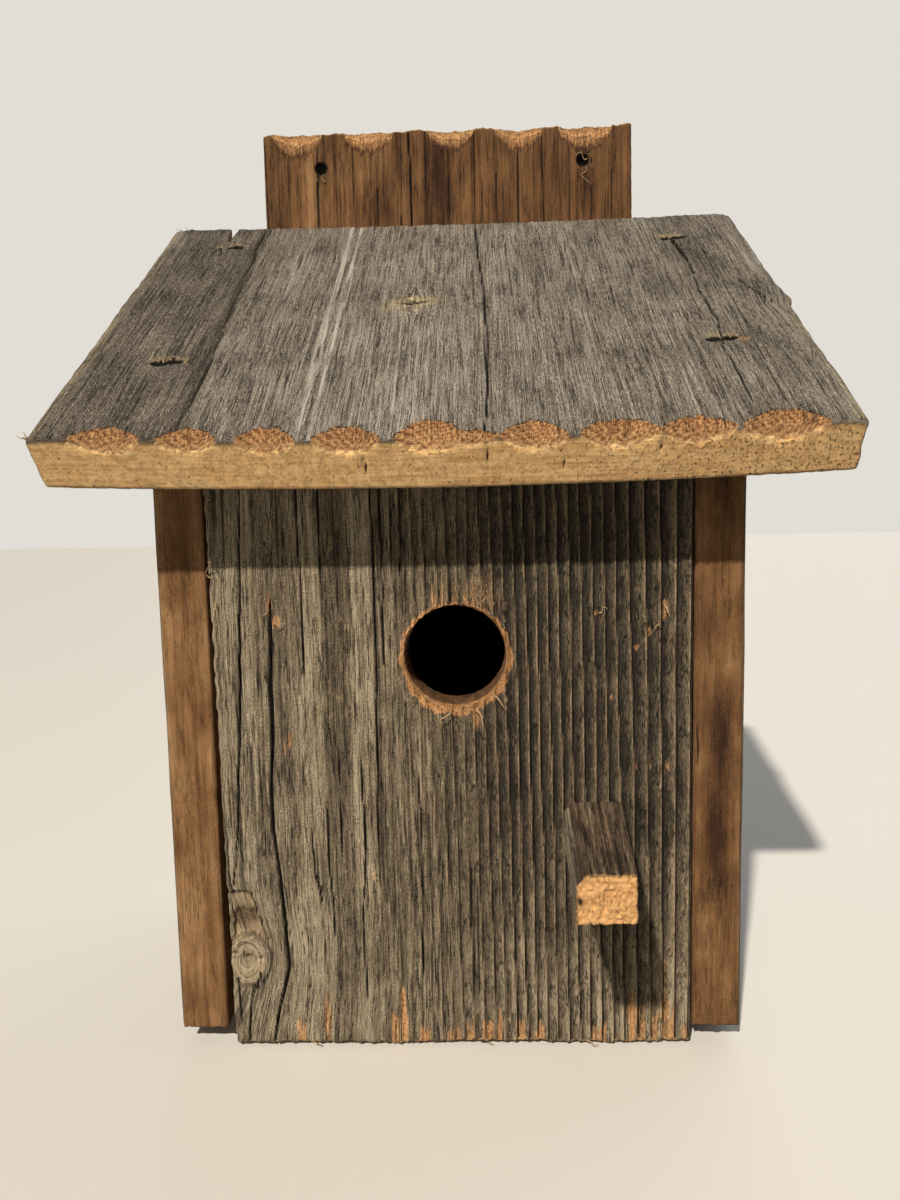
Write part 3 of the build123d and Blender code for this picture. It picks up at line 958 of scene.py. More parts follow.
def roof_pits(a, b, marks):
    """Staple pits, each with two dark lobes in a patch of torn straw-coloured fibres."""
    for place, (x, y) in enumerate(ROOF_STAPLES):
        pit = patch(a, b, x, y + 1.6, 8.5, 5.0, 160 + place, 0.6)
        lobes = np.maximum(patch(a, b, x - 2.9, y - 0.8, 3.8, 3.0, 165 + place, 0.22),
                           patch(a, b, x + 2.9, y + 0.5, 4.0, 2.8, 169 + place, 0.22))
        marks.relief -= 0.2 * pit + 0.9 * lobes
        marks.raise_to("crest", 0.9 * pit)
        marks.raise_to("fresh", 0.25 * pit)
        marks.raise_to("gap", 0.9 * smooth(lobes, 0.0, 0.35))
    spot = patch(a, b, 117.0, 68.0, 3.0, 2.6, 171)
    marks.raise_to("fresh", 0.55 * spot)


def roof_tones(a, b, flow, marks):
    """Darker on the left, two whitish lines, silver in the middle, straw-coloured margins."""
    marks.tone -= 0.45 * smooth(-a, 90.0, 94.0) + 0.45 * hump(a, -92.5 - b / 60.0, 1.5)
    marks.tone += 1.6 * hump(flow, -50.5, 1.1) + 1.3 * hump(flow, -45.8, 0.9) + 0.16 * hump(a, 0.0, 60.0)
    pale = np.maximum(np.sin((flow - 3.0) * 1.75), 0) ** 3
    pale = pale * hump(a, -12.0, 20.0) * (1 - smooth(b, 70.0, 112.0))
    marks.tone += 1.2 * pale
    marks.relief += 0.25 * pale
    marks.tone -= 0.4 * hump(a, 115.0, 10.0) * smooth(b, 70.0, 170.0)
    streaks = 0.75 + 0.5 * noise(flow / 1.6, b / 30.0, 172)
    margin = 0.8 * smooth(np.abs(a), ROOF_EDGE - 7, ROOF_EDGE) * streaks
    marks.raise_to("crest", margin * np.where(a > 0, smooth(-b, -125.0, -95.0), 0.8))


def roof_surface(a, b):
    """The marks of the roof's upper face. Its fibres bend round the knot and the right edge's step."""
    marks = Marks(a, b, 0 * a)
    knot_a, knot_b = ROOF_KNOT
    push = 3.5 * hump(b, knot_b, 14.0) * np.sign(a - knot_a) * np.exp(-np.abs(a - knot_a) / 9.0)
    edge_push = -7.0 * hump(b, 105.0, 15.0) * np.exp(-np.abs(a - ROOF_EDGE) / 9.0)
    flow = a - push * smooth(np.abs(a - knot_a), 0, 3.0) - edge_push + 0.8 * noise(a / 22.0, b / 90.0, 111)
    roof_fibres(a, b, flow, marks)
    roof_cracks(a, b, flow, marks)
    roof_knot(a, b, marks)
    roof_pits(a, b, marks)
    roof_tones(a, b, flow, marks)
    marks.grain[:, 0] = flow
    return marks


def corner_reach(x, gouges, seed, steep=1.0):
    """How far gouges reach from a corner along both faces at each x, with a torn upper edge.

    A steepness under 1 makes their arches blunter.
    """
    up, down = np.zeros(len(x)), np.zeros(len(x))
    for middle, half, high, low in gouges:
        bow = arch(x, middle, half) ** steep
        up = np.maximum(up, high * bow + 2.3 * bow * layered(x / 1.1, middle, seed))
        down = np.maximum(down, low * bow)
    return up, down


def cut_corner(points, normal, up, down, top_distance, front_distance, to_point):
    """Moves the points within reach of a gouge from the corner's two faces to the chord.

    A point that lies a share t of the way round the corner, from the upper end of the cut,
    goes to the same share of the straight chord. Returns which points moved and their shares.
    """
    on_corner = np.minimum(top_distance, front_distance) < TOUCHING
    round_path = np.where(top_distance < TOUCHING, up + front_distance, up - top_distance)
    share = round_path / np.maximum(up + down, 1e-6)
    cut = on_corner & (up + down > 0.5) & (share > 0) & (share < 1)
    t = share[cut]
    moved, facing_out = to_point(up[cut] * (1 - t), down[cut] * t, up[cut], down[cut])
    points[cut, 1:], normal[cut] = moved, facing_out
    return cut, share


def roof_gouges(a, cut, share_round, round_way, relief, marks):
    """Bright torn wood with cross-hatched tool marks in the gouges, whose ridges carry painted highlights
    and whose troughs carry painted shade; returns the relief.

    share_round and round_way are a point's share of the way round the corner and its length.
    """
    hatch = np.sin((a + round_way) * 2.9) * np.sin((a - 0.6 * round_way) * 2.6)
    relief = np.where(cut, 0.3 * hatch + 0.3 * noise(a / 0.9, round_way / 0.9, 186), relief)
    mouth = smooth(round_way, 0.0, 1.6)
    foot = smooth(share_round + 0.12 * noise(a / 1.5, round_way / 2.0, 192), 0.62, 1.0)
    marks.fresh = np.where(cut, 0.35 + 0.65 * mouth - 0.8 * foot, marks.fresh)
    marks.end = np.where(cut, foot, marks.end)
    # A dark line along each gouge's upper edge, and painted shade in the troughs of the tool marks
    marks.gap = np.where(cut, 0.45 * (1 - mouth) + 0.15 * smooth(-hatch, 0.4, 0.9), marks.gap)
    marks.crest = np.where(cut, 0.0, marks.crest)
    # Painted highlights on the tool marks' ridges and painted shade in their troughs; darker at the gouge's
    # upper edge and lighter towards the end face
    marks.tone = np.where(cut, 1.5 * hatch + 1.1 * (share_round - 0.55), marks.tone)
    return relief


def roof_outline(surface, a, b, c, half):
    """Moves the roof's ends, faces and edges, which are worn, cupped and waney."""
    # Ragged back end with one open split, then the plumb cut that meets the back board
    split = 24.0 * np.clip(1 - np.abs(a + 112.0) / 1.9, 0, 1)
    ragged = 0.8 * noise(a / 3.0, 0.5, 187) + 0.6 * noise(a / 1.0, 0.5, 188) - 0.6
    near_back = smooth(b, ROOF_LENGTH - 45.0, ROOF_LENGTH - 6.0)
    surface[:, 1] += ragged * smooth(b, ROOF_LENGTH - 8, ROOF_LENGTH) - split * near_back
    corner = 1 - smooth(half - np.abs(a), 0.0, 9.0)
    rounding = 1.5 * corner**2 * (a > 0)
    surface[:, 1] -= rounding * smooth(b, ROOF_LENGTH - 20, ROOF_LENGTH)
    surface[:, 1] *= 1 - surface[:, 2] * ROOF_TAN / ROOF_LENGTH
    # Cupped: the middle lies low, and the side edges stand up, most at the front
    cup = wear("roof_cup") * ((a / 106.0) ** 2 - 1) * (1 - 0.6 * b / ROOF_LENGTH)
    surface[:, 2] -= cup
    # Waney edges: wavy, with a step at the knot on the right and an undercut on the left
    wavy = 0.5 * noise(b / 30.0, 0.5 + (a > 0), 189) + 0.3 * noise(b / 6.0, c / 9.0, 190)
    knot_step = 1.8 * smooth(b, 102.0, 106.0) * (1 - smooth(b, 106.0, 128.0)) * (a > 0)
    foot_in = 1.8 * smooth(c, 6.0, ROOF_THICK) * (a < 0)
    near_edge = 1 - smooth(half - np.abs(a), 0, 14)
    surface[:, 0] += np.sign(a) * (wavy + knot_step - foot_in) * near_edge
    surface[:, 2] += (0.9 * (1 - c / ROOF_THICK)) * corner**2


class BIRDHOUSE_OT_roof_board(Undoable, bpy.types.Operator):
    """Wide sloping roof board, cupped and cracked, with gouges along its front edge"""

    bl_idname = "birdhouse.roof_board"
    bl_label = "Roof Board"

    def execute(self, context):
        low, high = ROOF
        half = (high[0] - low[0]) / 2
        a = edged(-half, half, 3, 0.5, 0.8)
        stops = [0, 15, 55, 76, 108, 126, 182, 199, ROOF_LENGTH - 6, ROOF_LENGTH]
        b = lines(stops, [0.85, 3.4, 1.0, 3.4, 1.3, 3.6, 1.0, 3.0, 1.2])
        c = lines([0, 8, ROOF_THICK - 2, ROOF_THICK], [1.0, 3.5, 1.0])
        shell = Shell(a, b, c)
        a, b, c = shell.points.T
        surface, normal = shell.rounded(1.3)
        up, down = corner_reach(a, ROOF_GOUGES, 181)

        def to_point(on_top, on_front, up_here, down_here):
            size = np.hypot(up_here, down_here)
            out = np.stack([0 * size, -down_here / size, -up_here / size], axis=1)
            return np.stack([on_top, on_front], axis=1), out

        cut, share_round = cut_corner(surface, normal, up, down, b, c, to_point)
        marks = roof_surface(a, b)
        rear = 0.3 * sawn(a, b, 182)
        ends = 0.15 * layered(a / 1.3, c / 1.3, 183)
        checks = np.zeros(len(a))
        for place, (x, top, foot) in enumerate(END_CHECKS):
            line = [(x, top), (x + 0.6, (top + foot) / 2), (x + 1.0, foot)]
            checks = np.maximum(checks, crack(a, c, line, 0.9, 190 + place))
        ends = ends - 1.0 * checks
        edges = 0.4 * weather(c, b, 184)
        relief, share = plain_sides(normal, marks.relief, rear, ends, edges)
        sawn_end = share["low_b"]
        marks.only(share["front"], "gap", "crest", "fresh", "bare")
        marks.raise_to("gap", sawn_end * checks)
        marks.raise_to("bare", 0.75 * share["back"])
        marks.raise_to("bare", 0.45 * (share["low_a"] + share["high_a"]))
        marks.raise_to("end", sawn_end * smooth(c, 0.9, 2.4) + 0.5 * share["high_b"])
        marks.tone = np.where(sawn_end > 0.5, smooth(a, 0.0, 130.0), marks.tone)
        relief = roof_gouges(a, cut, share_round, share_round * (up + down), relief, marks)
        surface = surface + normal * relief[:, None]
        roof_outline(surface, a, b, c, half)
        marks.grain[:, 2] = c
        material = board_wood("roof wood", "grey", rim="straw", contrast=1.5, combed=0.7, streaked=0.1,
                              fine=(3.0, 0.3), comb_scale=(1.4, 0.02), groove=(1.5, 0.016, 0.026))
        origin = (0, low[1], ROOF_CORNER_HEIGHT)
        points = world(surface, origin, (1, 0, 0), (0, ROOF_COS, ROOF_SIN), (0, ROOF_SIN, -ROOF_COS))
        put("roof_board_worn", points, shell.quads, "house", ["roof_board"], "roof_wood", material, marks)
        return {"FINISHED"}


# Gouges along the top of the back board: middle, half width, reach back, reach down
BACK_GOUGES = [
    (-78.5, 13.0, 3.2, 12.0), (-41.5, 13.0, 3.2, 11.0), (1.0, 12.0, 3.2, 10.5),
    (36.0, 12.5, 3.2, 11.5), (70.0, 14.0, 3.5, 12.5),
]


class BIRDHOUSE_OT_back_board(Undoable, bpy.types.Operator):
    """Tall brown back board with a gouged top and two hanging holes"""

    bl_idname = "birdhouse.back_board"
    bl_label = "Back Board"

    def execute(self, context):
        low, high = BACK
        thick = high[1] - low[1]
        a = edged(low[0], high[0], 2, 0.5, 0.7)
        b = lines([0, 3, 365, 385, high[2] - 14, high[2]], [1.0, 7.0, 2.5, 1.4, 0.9])
        c = lines([0, 6, thick], [0.8, 2.2])
        shell = Shell(a, b, c, [(*hole, 3.0, 5) for hole in HANGING_HOLES])
        a, b, c = shell.points.T
        surface, normal = shell.rounded(1.0)
        up, down = corner_reach(a, [(m, h, d, r) for m, h, r, d in BACK_GOUGES], 201, 0.7)
        # Here the long reach runs down the front face, and the short one back along the top end
        from_top = high[2] - b

        def to_point(on_front, on_top, down_here, back_here):
            size = np.hypot(down_here, back_here)
            out = np.stack([0 * size, down_here * 0 + back_here / size, -down_here / size], axis=1)
            return np.stack([high[2] - on_front, on_top], axis=1), out

        cut, share_round = cut_corner(surface, normal, up, down, from_top, c, to_point)
        marks = Marks(a, b, c)
        flow = a + 0.8 * noise(a / 14.0, b / 50.0, 202)
        number = flow / 12.0 + 0.45 * noise(flow / 16.0, 0.5, 203)
        share_of_ridge = number - np.floor(number)
        ridge = 0.8 * share_of_ridge**1.3 * (1 - smooth(share_of_ridge, 0.94, 1.0))
        fibres = weather(flow, b, 204)
        split = crack(a, b, [(-20.5, 413), (-20, 385), (-19.4, 350)], 1.0, 205)
        front = ridge + 0.35 * fibres - 2.0 * split
        rear = 0.3 * sawn(a, b, 206)
        ends = 0.35 * layered(a / 1.3, c / 1.3, 207)
        edges = 0.3 * sawn(c, b, 208)
        relief, share = plain_sides(normal, front, rear, ends, edges)
        marks.bare += 1.0
        strip_tone = 0.35 * noise(np.floor(number) * 3.7, 0.5, 213)
        marks.tone += share["front"] * (0.25 * fibres - 0.45 + strip_tone + 0.3 * smooth(-a, 30.0, 60.0))
        marks.gap += share["front"] * np.maximum(0.8 * (1 - smooth(share_of_ridge, 0.02, 0.1)), 1.5 * split)
        marks.raise_to("gap", share["front"] * 0.5 * smooth(-fibres, 0.4, 0.6))
        marks.end += 0.6 * share["high_b"]
        # A dark ring round each hanging hole on the front face
        for x, z, radius in HANGING_HOLES:
            away = np.hypot(a - x, b - z)
            marks.raise_to("gap", share["front"] * 0.7 * (1 - smooth(away, radius, radius + 1.2)))
        inside, _ = shell.wall()
        # Painted shade: the walls of the hanging holes are painted dark
        marks.gap[inside] = 0.8
        # Gouges: pale at the top edge, browner below, with curved tear lines
        rows = np.sin(share_round * 15.0 + 2.5 * noise(a / 6.0, share_round * 2.0, 214))
        relief = np.where(cut, 0.3 * rows + 0.3 * noise(a / 1.0, share_round * 9, 210), relief)
        relief[inside] = 0
        lip = smooth(share_round, 0.0, 0.75)
        marks.fresh = np.where(cut, 0.22 + 0.48 * lip, marks.fresh)
        marks.tone = np.where(cut, 0.9 * (lip - 0.8), marks.tone)
        marks.end = np.where(cut, 0, marks.end)
        marks.gap = np.where(cut, 0.6 * smooth(rows, 0.75, 1.0), marks.gap)
        surface = surface + normal * relief[:, None]
        wavy = 0.9 * noise(a / 9.0, 0.5, 211) + 0.5 * noise(a / 1.8, 0.5, 212) + 0.6
        surface[:, 1] += wavy * smooth(b, high[2] - 14, high[2])
        marks.grain[:, 0] = flow
        material = board_wood("back wood", "grey", veined=0.55)
        points = world(surface, (0, low[1], 0), (1, 0, 0), (0, 0, 1), (0, 1, 0))
        put("back_board_worn", points, shell.quads, "house", ["back_board"], "back_wood", material, marks)
        return {"FINISHED"}


def side_board(name, seed):
    """One side: weathered outside, brown inside, with its top cut to the roof's slope.

    Points of a plain box are stretched upwards so that the top follows the roof's underside.
    """
    low, high = SIDES[name]
    outward = -1 if high[0] < 0 else 1
    depth, thick = high[1] - low[1], high[0] - low[0]
    a = edged(0, depth, 3, 0.6, 1.1)
    b = lines([low[2], low[2] + 3, high[2] - 2, high[2]], [0.7, 3.6, 1.0])
    c = lines([0, thick], [0.75])
    shell = Shell(a, b, c)
    a, b, c = shell.points.T
    surface, normal = shell.rounded(1.7)
    # a runs from the front edge on the right side, and from the rear edge on the left side
    from_front = a if outward > 0 else depth - a
    flow = a + 1.2 * noise(a / 18.0, b / 90.0, seed)
    fibres = weather(flow, b, seed + 1)
    front = wear("fibre_height") * fibres
    marks = Marks(flow, b, c)
    checks = np.zeros(len(a))
    rng = np.random.default_rng(seed)
    for _ in range(40):
        x, z, long = rng.uniform(6, depth - 6), rng.uniform(12, 300), rng.uniform(15, 80)
        checks = np.maximum(checks, crack(flow, b, [(x, z), (x + 1, z + long)], 1.6, 8))
    front = front - 0.9 * checks
    rear = 0.25 * sawn(a, b, seed + 2)
    edges = 0.5 * noise(c / 1.4, b / 40.0, seed + 3) + 0.2 * noise(c / 7.0, b / 5.0, seed + 4)
    ends = 0.3 * layered(a / 1.3, c / 1.3, seed + 5)
    relief, share = plain_sides(normal, front, rear, ends, edges)
    marks.gap = share["front"] * np.maximum(checks, 0.7 * smooth(-fibres, 0.36, 0.6))
    marks.tone = share["front"] * (0.5 * fibres - 0.1)
    marks.bare = 1 - share["front"]
    on_edge = share["low_a"] + share["high_a"]
    core = hump(c, thick / 2, thick / 4.0) * smooth(noise(c / 9.0, b / 60.0, seed + 6), -0.7, 0.6)
    marks.tone += on_edge * ((0.4 if outward < 0 else -0.05) - 0.75 * core)
    if outward > 0:
        torn = crack(c, b, [(18.6, 162), (18.0, 174), (18.8, 184)], 1.8, seed + 7) * on_edge
        relief = relief - 1.5 * torn
        marks.raise_to("gap", torn)
    surface = surface + normal * relief[:, None]
    y = low[1] + from_front
    roof_under = ROOF_CORNER_HEIGHT + (y - ROOF[0][1]) * ROOF_TAN - ROOF_THICK / ROOF_COS
    surface[:, 1] = low[2] + (surface[:, 1] - low[2]) * (roof_under - low[2] - 0.3) / (high[2] - low[2])
    ragged = 0.6 * noise(a / 2.0, c / 2.0, seed + 8)
    surface[:, 1] += ragged * (1 - smooth(b, low[2], low[2] + 4))
    material = board_wood(name.replace("_", " ") + " wood", "panel", veined=0.3)
    if outward > 0:
        origin, across, into = (high[0], low[1], 0), (0, 1, 0), (-1, 0, 0)
    else:
        origin, across, into = (low[0], high[1], 0), (0, -1, 0), (1, 0, 0)
    points = world(surface, origin, across, (0, 0, 1), into)
    put(name + "_worn", points, shell.quads, "house", [name], "side_wood", material, marks)


class BIRDHOUSE_OT_sides(Undoable, bpy.types.Operator):
    """The two side boards, with rounded brown front edges"""

    bl_idname = "birdhouse.sides"
    bl_label = "Side Boards"

    def execute(self, context):
        side_board("left_side", 300)
        side_board("right_side", 340)
        return {"FINISHED"}


class BIRDHOUSE_OT_floor_board(Undoable, bpy.types.Operator):
    """Brown floor board between the sides"""

    bl_idname = "birdhouse.floor_board"
    bl_label = "Floor Board"

    def execute(self, context):
        low, high = FLOOR
        a = edged(0, high[1] - low[1], 3, 0.8, 1.5)
        b = edged(low[0], high[0], 3, 1.0, 4.0)
        c = edged(0, high[2] - low[2], 2, 0.7, 2.5)
        shell = Shell(a, b, c)
        a, b, c = shell.points.T
        surface, normal = shell.rounded(1.0)
        marks = Marks(a, b, c)
        upper = 0.2 * sawn(a, b, 401) - 0.2
        edges = 0.2 * sawn(c, b, 402) - 0.2
        relief, _ = plain_sides(normal, upper, upper, 0 * upper, edges)
        marks.bare += 1.0
        marks.tone += 0.3 * noise(a / 6.0, b / 60.0, 404)
        surface = surface + normal * relief[:, None]
        material = board_wood("floor wood", "grey")
        origin = (0, high[1], high[2])
        points = world(surface, origin, (0, -1, 0), (1, 0, 0), (0, 0, -1))
        nodes = ["floor_board"]
        put("floor_board_worn", points, shell.quads, "house", nodes, "floor_wood", material, marks)
        return {"FINISHED"}


PERCH_ROOT = (44.0, 67.0)
PERCH_TIP = (41.5, 61.5)
PERCH_WANE = 4.0


class BIRDHOUSE_OT_perch_block(Undoable, bpy.types.Operator):
    """Weathered stick with a freshly sawn tip, which serves as perch and pull"""

    bl_idname = "birdhouse.perch_block"
    bl_label = "Perch Block"

    def execute(self, context):
        low, high = PERCH
        long, thick = high[1] - low[1], high[2] - low[2]
        wide = PERCH_ROOT[1] - PERCH_ROOT[0]
        a = lines([0, wide], [0.42])
        b = lines([0, 3, long], [0.5, 1.4])
        c = lines([0, thick], [0.5])
        shell = Shell(a, b, c)
        a, b, c = shell.points.T
        surface, normal = shell.rounded(0.9)
        # The wane: points above a slanting plane at the upper left edge are laid on it
        short = np.maximum(PERCH_WANE - surface[:, 0] - surface[:, 2], 0) / 2
        surface[:, 0] += short
        surface[:, 2] += short
        waney = smooth(short, 0.0, 0.6)
        marks = Marks(a, b, c)
        fibres = weather(a, b, 501)
        side_fibres = weather(c, b, 503)
        ends = 0.08 * layered(a / 1.0, c / 1.0, 505)
        top = 0.6 * fibres
        relief, share = plain_sides(normal, top, top, ends, 0.45 * side_fibres)
        tip = share["low_b"]
        marks.bare += 0.3 * share["front"] + share["back"] + 0.7 * share["high_a"] + share["high_b"]
        marks.tone += share["front"] * (0.7 * fibres - 0.3) + share["low_a"] * (0.3 * side_fibres + 0.3)
        marks.tone -= 0.3 * waney
        marks.gap += share["front"] * 0.8 * smooth(-fibres, 0.25, 0.5)
        marks.end = tip
        marks.gap += 0.8 * tip * hump(a, 1.5, 1.2) * hump(c, 9.0, 2.0)
        surface = surface + normal * relief[:, None]
        rim = 0.5 * noise(a / 1.1, c / 1.1, 507) - 0.3
        surface[:, 1] += rim * (1 - smooth(b, 0, 3))
        # Taper from the root to the tip
        t = surface[:, 1] / long
        left = PERCH_TIP[0] + (PERCH_ROOT[0] - PERCH_TIP[0]) * t
        right = PERCH_TIP[1] + (PERCH_ROOT[1] - PERCH_TIP[1]) * t
        surface[:, 0] = left + (right - left) * surface[:, 0] / wide
        material = board_wood("perch wood", "panel", ends="tip")
        points = world(surface, (0, low[1], high[2]), (1, 0, 0), (0, 1, 0), (0, 0, -1))
        put("perch_block_worn", points, shell.quads, "door", ["perch_block"], "perch_wood", material, marks)
        return {"FINISHED"}


def tube(path, radius_u, radius_v, side, count):
    """A closed rod along a path: an oval section of so many points on each of the path's points.

    Each section is the path's point + u * cos + v * sin, where u lies along side and v is square
    to u and to the path. Each end is closed by a fan of triangles to the path's end point.
    """
    path = np.asarray(path, float)
    ahead = np.gradient(path, axis=0)
    ahead /= np.linalg.norm(ahead, axis=1, keepdims=True)
    u = np.asarray(side, float) - ahead * (ahead @ np.asarray(side, float))[:, None]
    u /= np.linalg.norm(u, axis=1, keepdims=True)
    v = np.cross(ahead, u)
    turn = np.linspace(0, 2 * np.pi, count, endpoint=False)
    ru, rv = radius_u[:, None, None], radius_v[:, None, None]
    across = u[:, None] * ru * np.cos(turn)[None, :, None]
    rings = path[:, None] + across + v[:, None] * rv * np.sin(turn)[None, :, None]
    points = np.concatenate([rings.reshape(-1, 3), path[:1], path[-1:]])
    index = np.arange(len(path) * count).reshape(len(path), count)
    after = np.roll(index, -1, axis=1)
    quads = np.stack([index[:-1], after[:-1], after[1:], index[1:]], axis=-1).reshape(-1, 4)
    start, end = len(path) * count, len(path) * count + 1
    first = np.stack([after[0], index[0], np.full(count, start)], axis=1)
    last = np.stack([index[-1], after[-1], np.full(count, end)], axis=1)
    return points, quads.tolist() + first.tolist() + last.tolist()


def gather(pieces):
    """Several (points, faces) as one."""
    points, faces, count = [], [], 0
    for piece_points, piece_faces in pieces:
        points.append(piece_points)
        faces.extend([index + count for index in face] for face in piece_faces)
        count += len(piece_points)
    return np.concatenate(points), faces


def staple(at, outward, along):
    """A wire staple: an oval rod down one leg, round two bends, across the crown and back down."""
    at, outward, along = (np.array(v, float) for v in (at, outward, along))
    half, bend = STAPLE_CROWN / 2 - STAPLE_RADIUS, STAPLE_BEND
    turn = np.linspace(0, np.pi / 2, 5)
    depth = -STAPLE_SUNK - STAPLE_RADIUS
    legs = [(-half, depth - STAPLE_LEG + up) for up in (0.6, 2.6, STAPLE_LEG - 12)]
    legs += [(-half + bend * (1 - math.cos(t)), depth - bend + bend * math.sin(t)) for t in turn]
    outline = legs + [(-x, z) for x, z in reversed(legs)]
    path = np.array([at + along * x + outward * z for x, z in outline])
    size = np.full(len(path), 0.48)
    size[[0, -1]] = 0.12
    return tube(path, size * 1.25, size, np.cross(outward, along), 8)


def roof_point(x, distance):
    return (x, ROOF[0][1] + distance * ROOF_COS, ROOF_CORNER_HEIGHT + distance * ROOF_SIN)


class BIRDHOUSE_OT_staples(Undoable, bpy.types.Operator):
    """Sunk wire staples that hold the roof, the back, the floor and the perch"""

    bl_idname = "birdhouse.staples"
    bl_label = "Staples"

    def execute(self, context):
        wire = metal("staple wire", 0.6)
        slope_up = (0, -ROOF_SIN, ROOF_COS)
        outer = SIDES["right_side"][1][0]
        back_y = (BACK[0][1] + BACK[1][1]) / 2
        middle = (PERCH_ROOT[0] + PERCH_ROOT[1]) / 2
        perch_z = (PERCH[0][2] + PERCH[1][2]) / 2
        groups = {
            "roof": [(roof_point(*place), slope_up, (1, 0, 0)) for place in ROOF_STAPLES],
            "back": [
                ((s * outer, back_y, z), (s, 0, 0), (0, 0, 1))
                for s in (-1, 1) for z in BACK_STAPLE_HEIGHTS
            ],
            "floor": [
                ((s * outer, PANEL[0][1] + y, FLOOR_STAPLE_HEIGHT), (s, 0, 0), (0, 1, 0))
                for s in (-1, 1) for y in FLOOR_STAPLE_DEPTHS
            ],
            "perch": [
                ((middle + s * PERCH_STAPLE_SPACING / 2, PANEL[1][1], perch_z), (0, 1, 0), (0, 0, 1))
                for s in (-1, 1)
            ],
        }
        for name, places in groups.items():
            points, faces = gather([staple(*place) for place in places])
            body = "door" if name == "perch" else "house"
            put(name + "_staples_wire", points, faces, body, [name + "_staples"], "staple_wire", wire)
        return {"FINISHED"}


def nail(at, outward):
    """A driven nail: a profile of radius and depth turned round its axis, with a dented head."""
    at, outward = np.array(at, float), np.array(outward, float)
    profile = np.array([
        (0.02, -0.15), (1.6, -0.1), (2.8, -0.25), (NAIL_HEAD_RADIUS, -0.7), (3.3, -1.15), (1.9, -1.25),
        (NAIL_RADIUS, -1.8), (1.55, -2.6), (NAIL_RADIUS, -3.4), (1.55, -4.2), (NAIL_RADIUS, -5.0),
        (NAIL_RADIUS, 5.0 - NAIL_LENGTH), (1.2, 3.6 - NAIL_LENGTH), (0.1, -NAIL_LENGTH),
    ])
    count = 20
    turn = np.linspace(0, 2 * np.pi, count, endpoint=False)
    side = np.array([0, 1.0, 0])
    other = np.cross(outward, side)
    ring = side * np.cos(turn)[:, None] + other * np.sin(turn)[:, None]
    points = at + ring[None] * profile[:, 0, None, None] + outward * profile[:, 1, None, None]
    dent = 0.12 * noise(points[..., 1] / 0.8, points[..., 2] / 0.8, 601) * (profile[:, 1] > -0.8)[:, None]
    points = points + outward * dent[..., None]
    index = np.arange(len(profile) * count).reshape(len(profile), count)
    after = np.roll(index, -1, axis=1)
    quads = np.stack([index[:-1], index[1:], after[1:], after[:-1]], axis=-1).reshape(-1, 4)
    top = index[0].tolist()
    bottom = index[-1][::-1].tolist()
    return points.reshape(-1, 3), quads.tolist() + [top] + [bottom]


class BIRDHOUSE_OT_pivot_nails(Undoable, bpy.types.Operator):
    """The two nails that the front panel turns on"""

    bl_idname = "birdhouse.pivot_nails"
    bl_label = "Pivot Nails"

    def execute(self, context):
        rusty = metal("rusty nail", 0.75)
        middle_y = (PANEL[0][1] + PANEL[1][1]) / 2
        for side, sign in (("left", -1), ("right", 1)):
            outer = sign * SIDES["right_side"][1][0]
            points, faces = nail((outer, middle_y, PIVOT_HEIGHT), (sign, 0, 0))
            node = f"pivot_nail_{side}"
            put(node + "_rusty", points, faces, "house", [node], "rusty_nail", rusty)
        return {"FINISHED"}


# Splinters: where each starts (across, depth, height), and which way and how far it lifts
PANEL_SPLINTERS = [
    ((-93.0, -45, 236), (0.2, -4, -9)), ((-93.2, -45, 222), (0.3, -4, 8)),
    ((-92.8, -45, 196), (0.1, -3, 7)), ((-92.6, -45, 187), (0.2, -4, -6)),
    ((-1.0, -45.5, 141.6), (-3, -4, -4)), ((9.0, -45.5, 142.6), (3, -5, -8)),
    ((17.0, -45.5, 148.0), (4, -4, -5)), ((-13.0, -45.5, 149.5), (-4, -3, -3)),
    ((12.0, -45.5, 185.0), (1, -3, 7)), ((80.0, -45.5, 172.0), (2, -2, 3)),
    ((77.0, -45.5, 176.0), (-2, -3, 4)), ((84.0, -45.5, 183.0), (1, -3, -5)),
    ((-71.0, -45.5, 184.0), (-1, -3, -7)), ((-68.0, -45.5, 176.0), (3, -3, 5)),
    ((58.0, -45.5, 180.0), (3, -2, 2)), ((-60.0, -45, 2.6), (3, -2, -0.8)),
    ((8.0, -45, 2.8), (6, -2, -1.0)), ((52.0, -45, 2.8), (5, -2, -0.8)),
    ((19.0, -45.5, 9.0), (2, -3, 6)), ((86.0, -45.5, 40.0), (-2, -3, 4)),
    ((-32.0, -45.5, 76.0), (2, -2, -5)),
]
BACK_SPLINTERS = [
    ((71.4, 98.6, 396.8), (-6.5, -1.5, 1.8)), ((70.6, 98.6, 393.4), (1.5, -1.5, -9.0)),
    ((-65.0, 98.6, 392.8), (1.0, -1.2, -4.0)),
]
# On the roof each starts across and up the slope
ROOF_SPLINTERS = [
    ((-142.5, 1.0), (-3, -1, 1.5)), ((-142.5, 3.0), (-3, 1, 2)), ((-141.0, 220.0), (-4, 4, 2)),
    ((-138.0, 221.0), (-2, 4, 3)), ((-110.0, 60.0), (-3, 1, 3)), ((-107.0, 62.0), (2, 3, 2)),
    ((111.5, 70.0), (3, 2, 3)), ((106.0, 189.0), (-3, 1, 2)), ((-20.0, 119.5), (-3, 3, 2)),
]


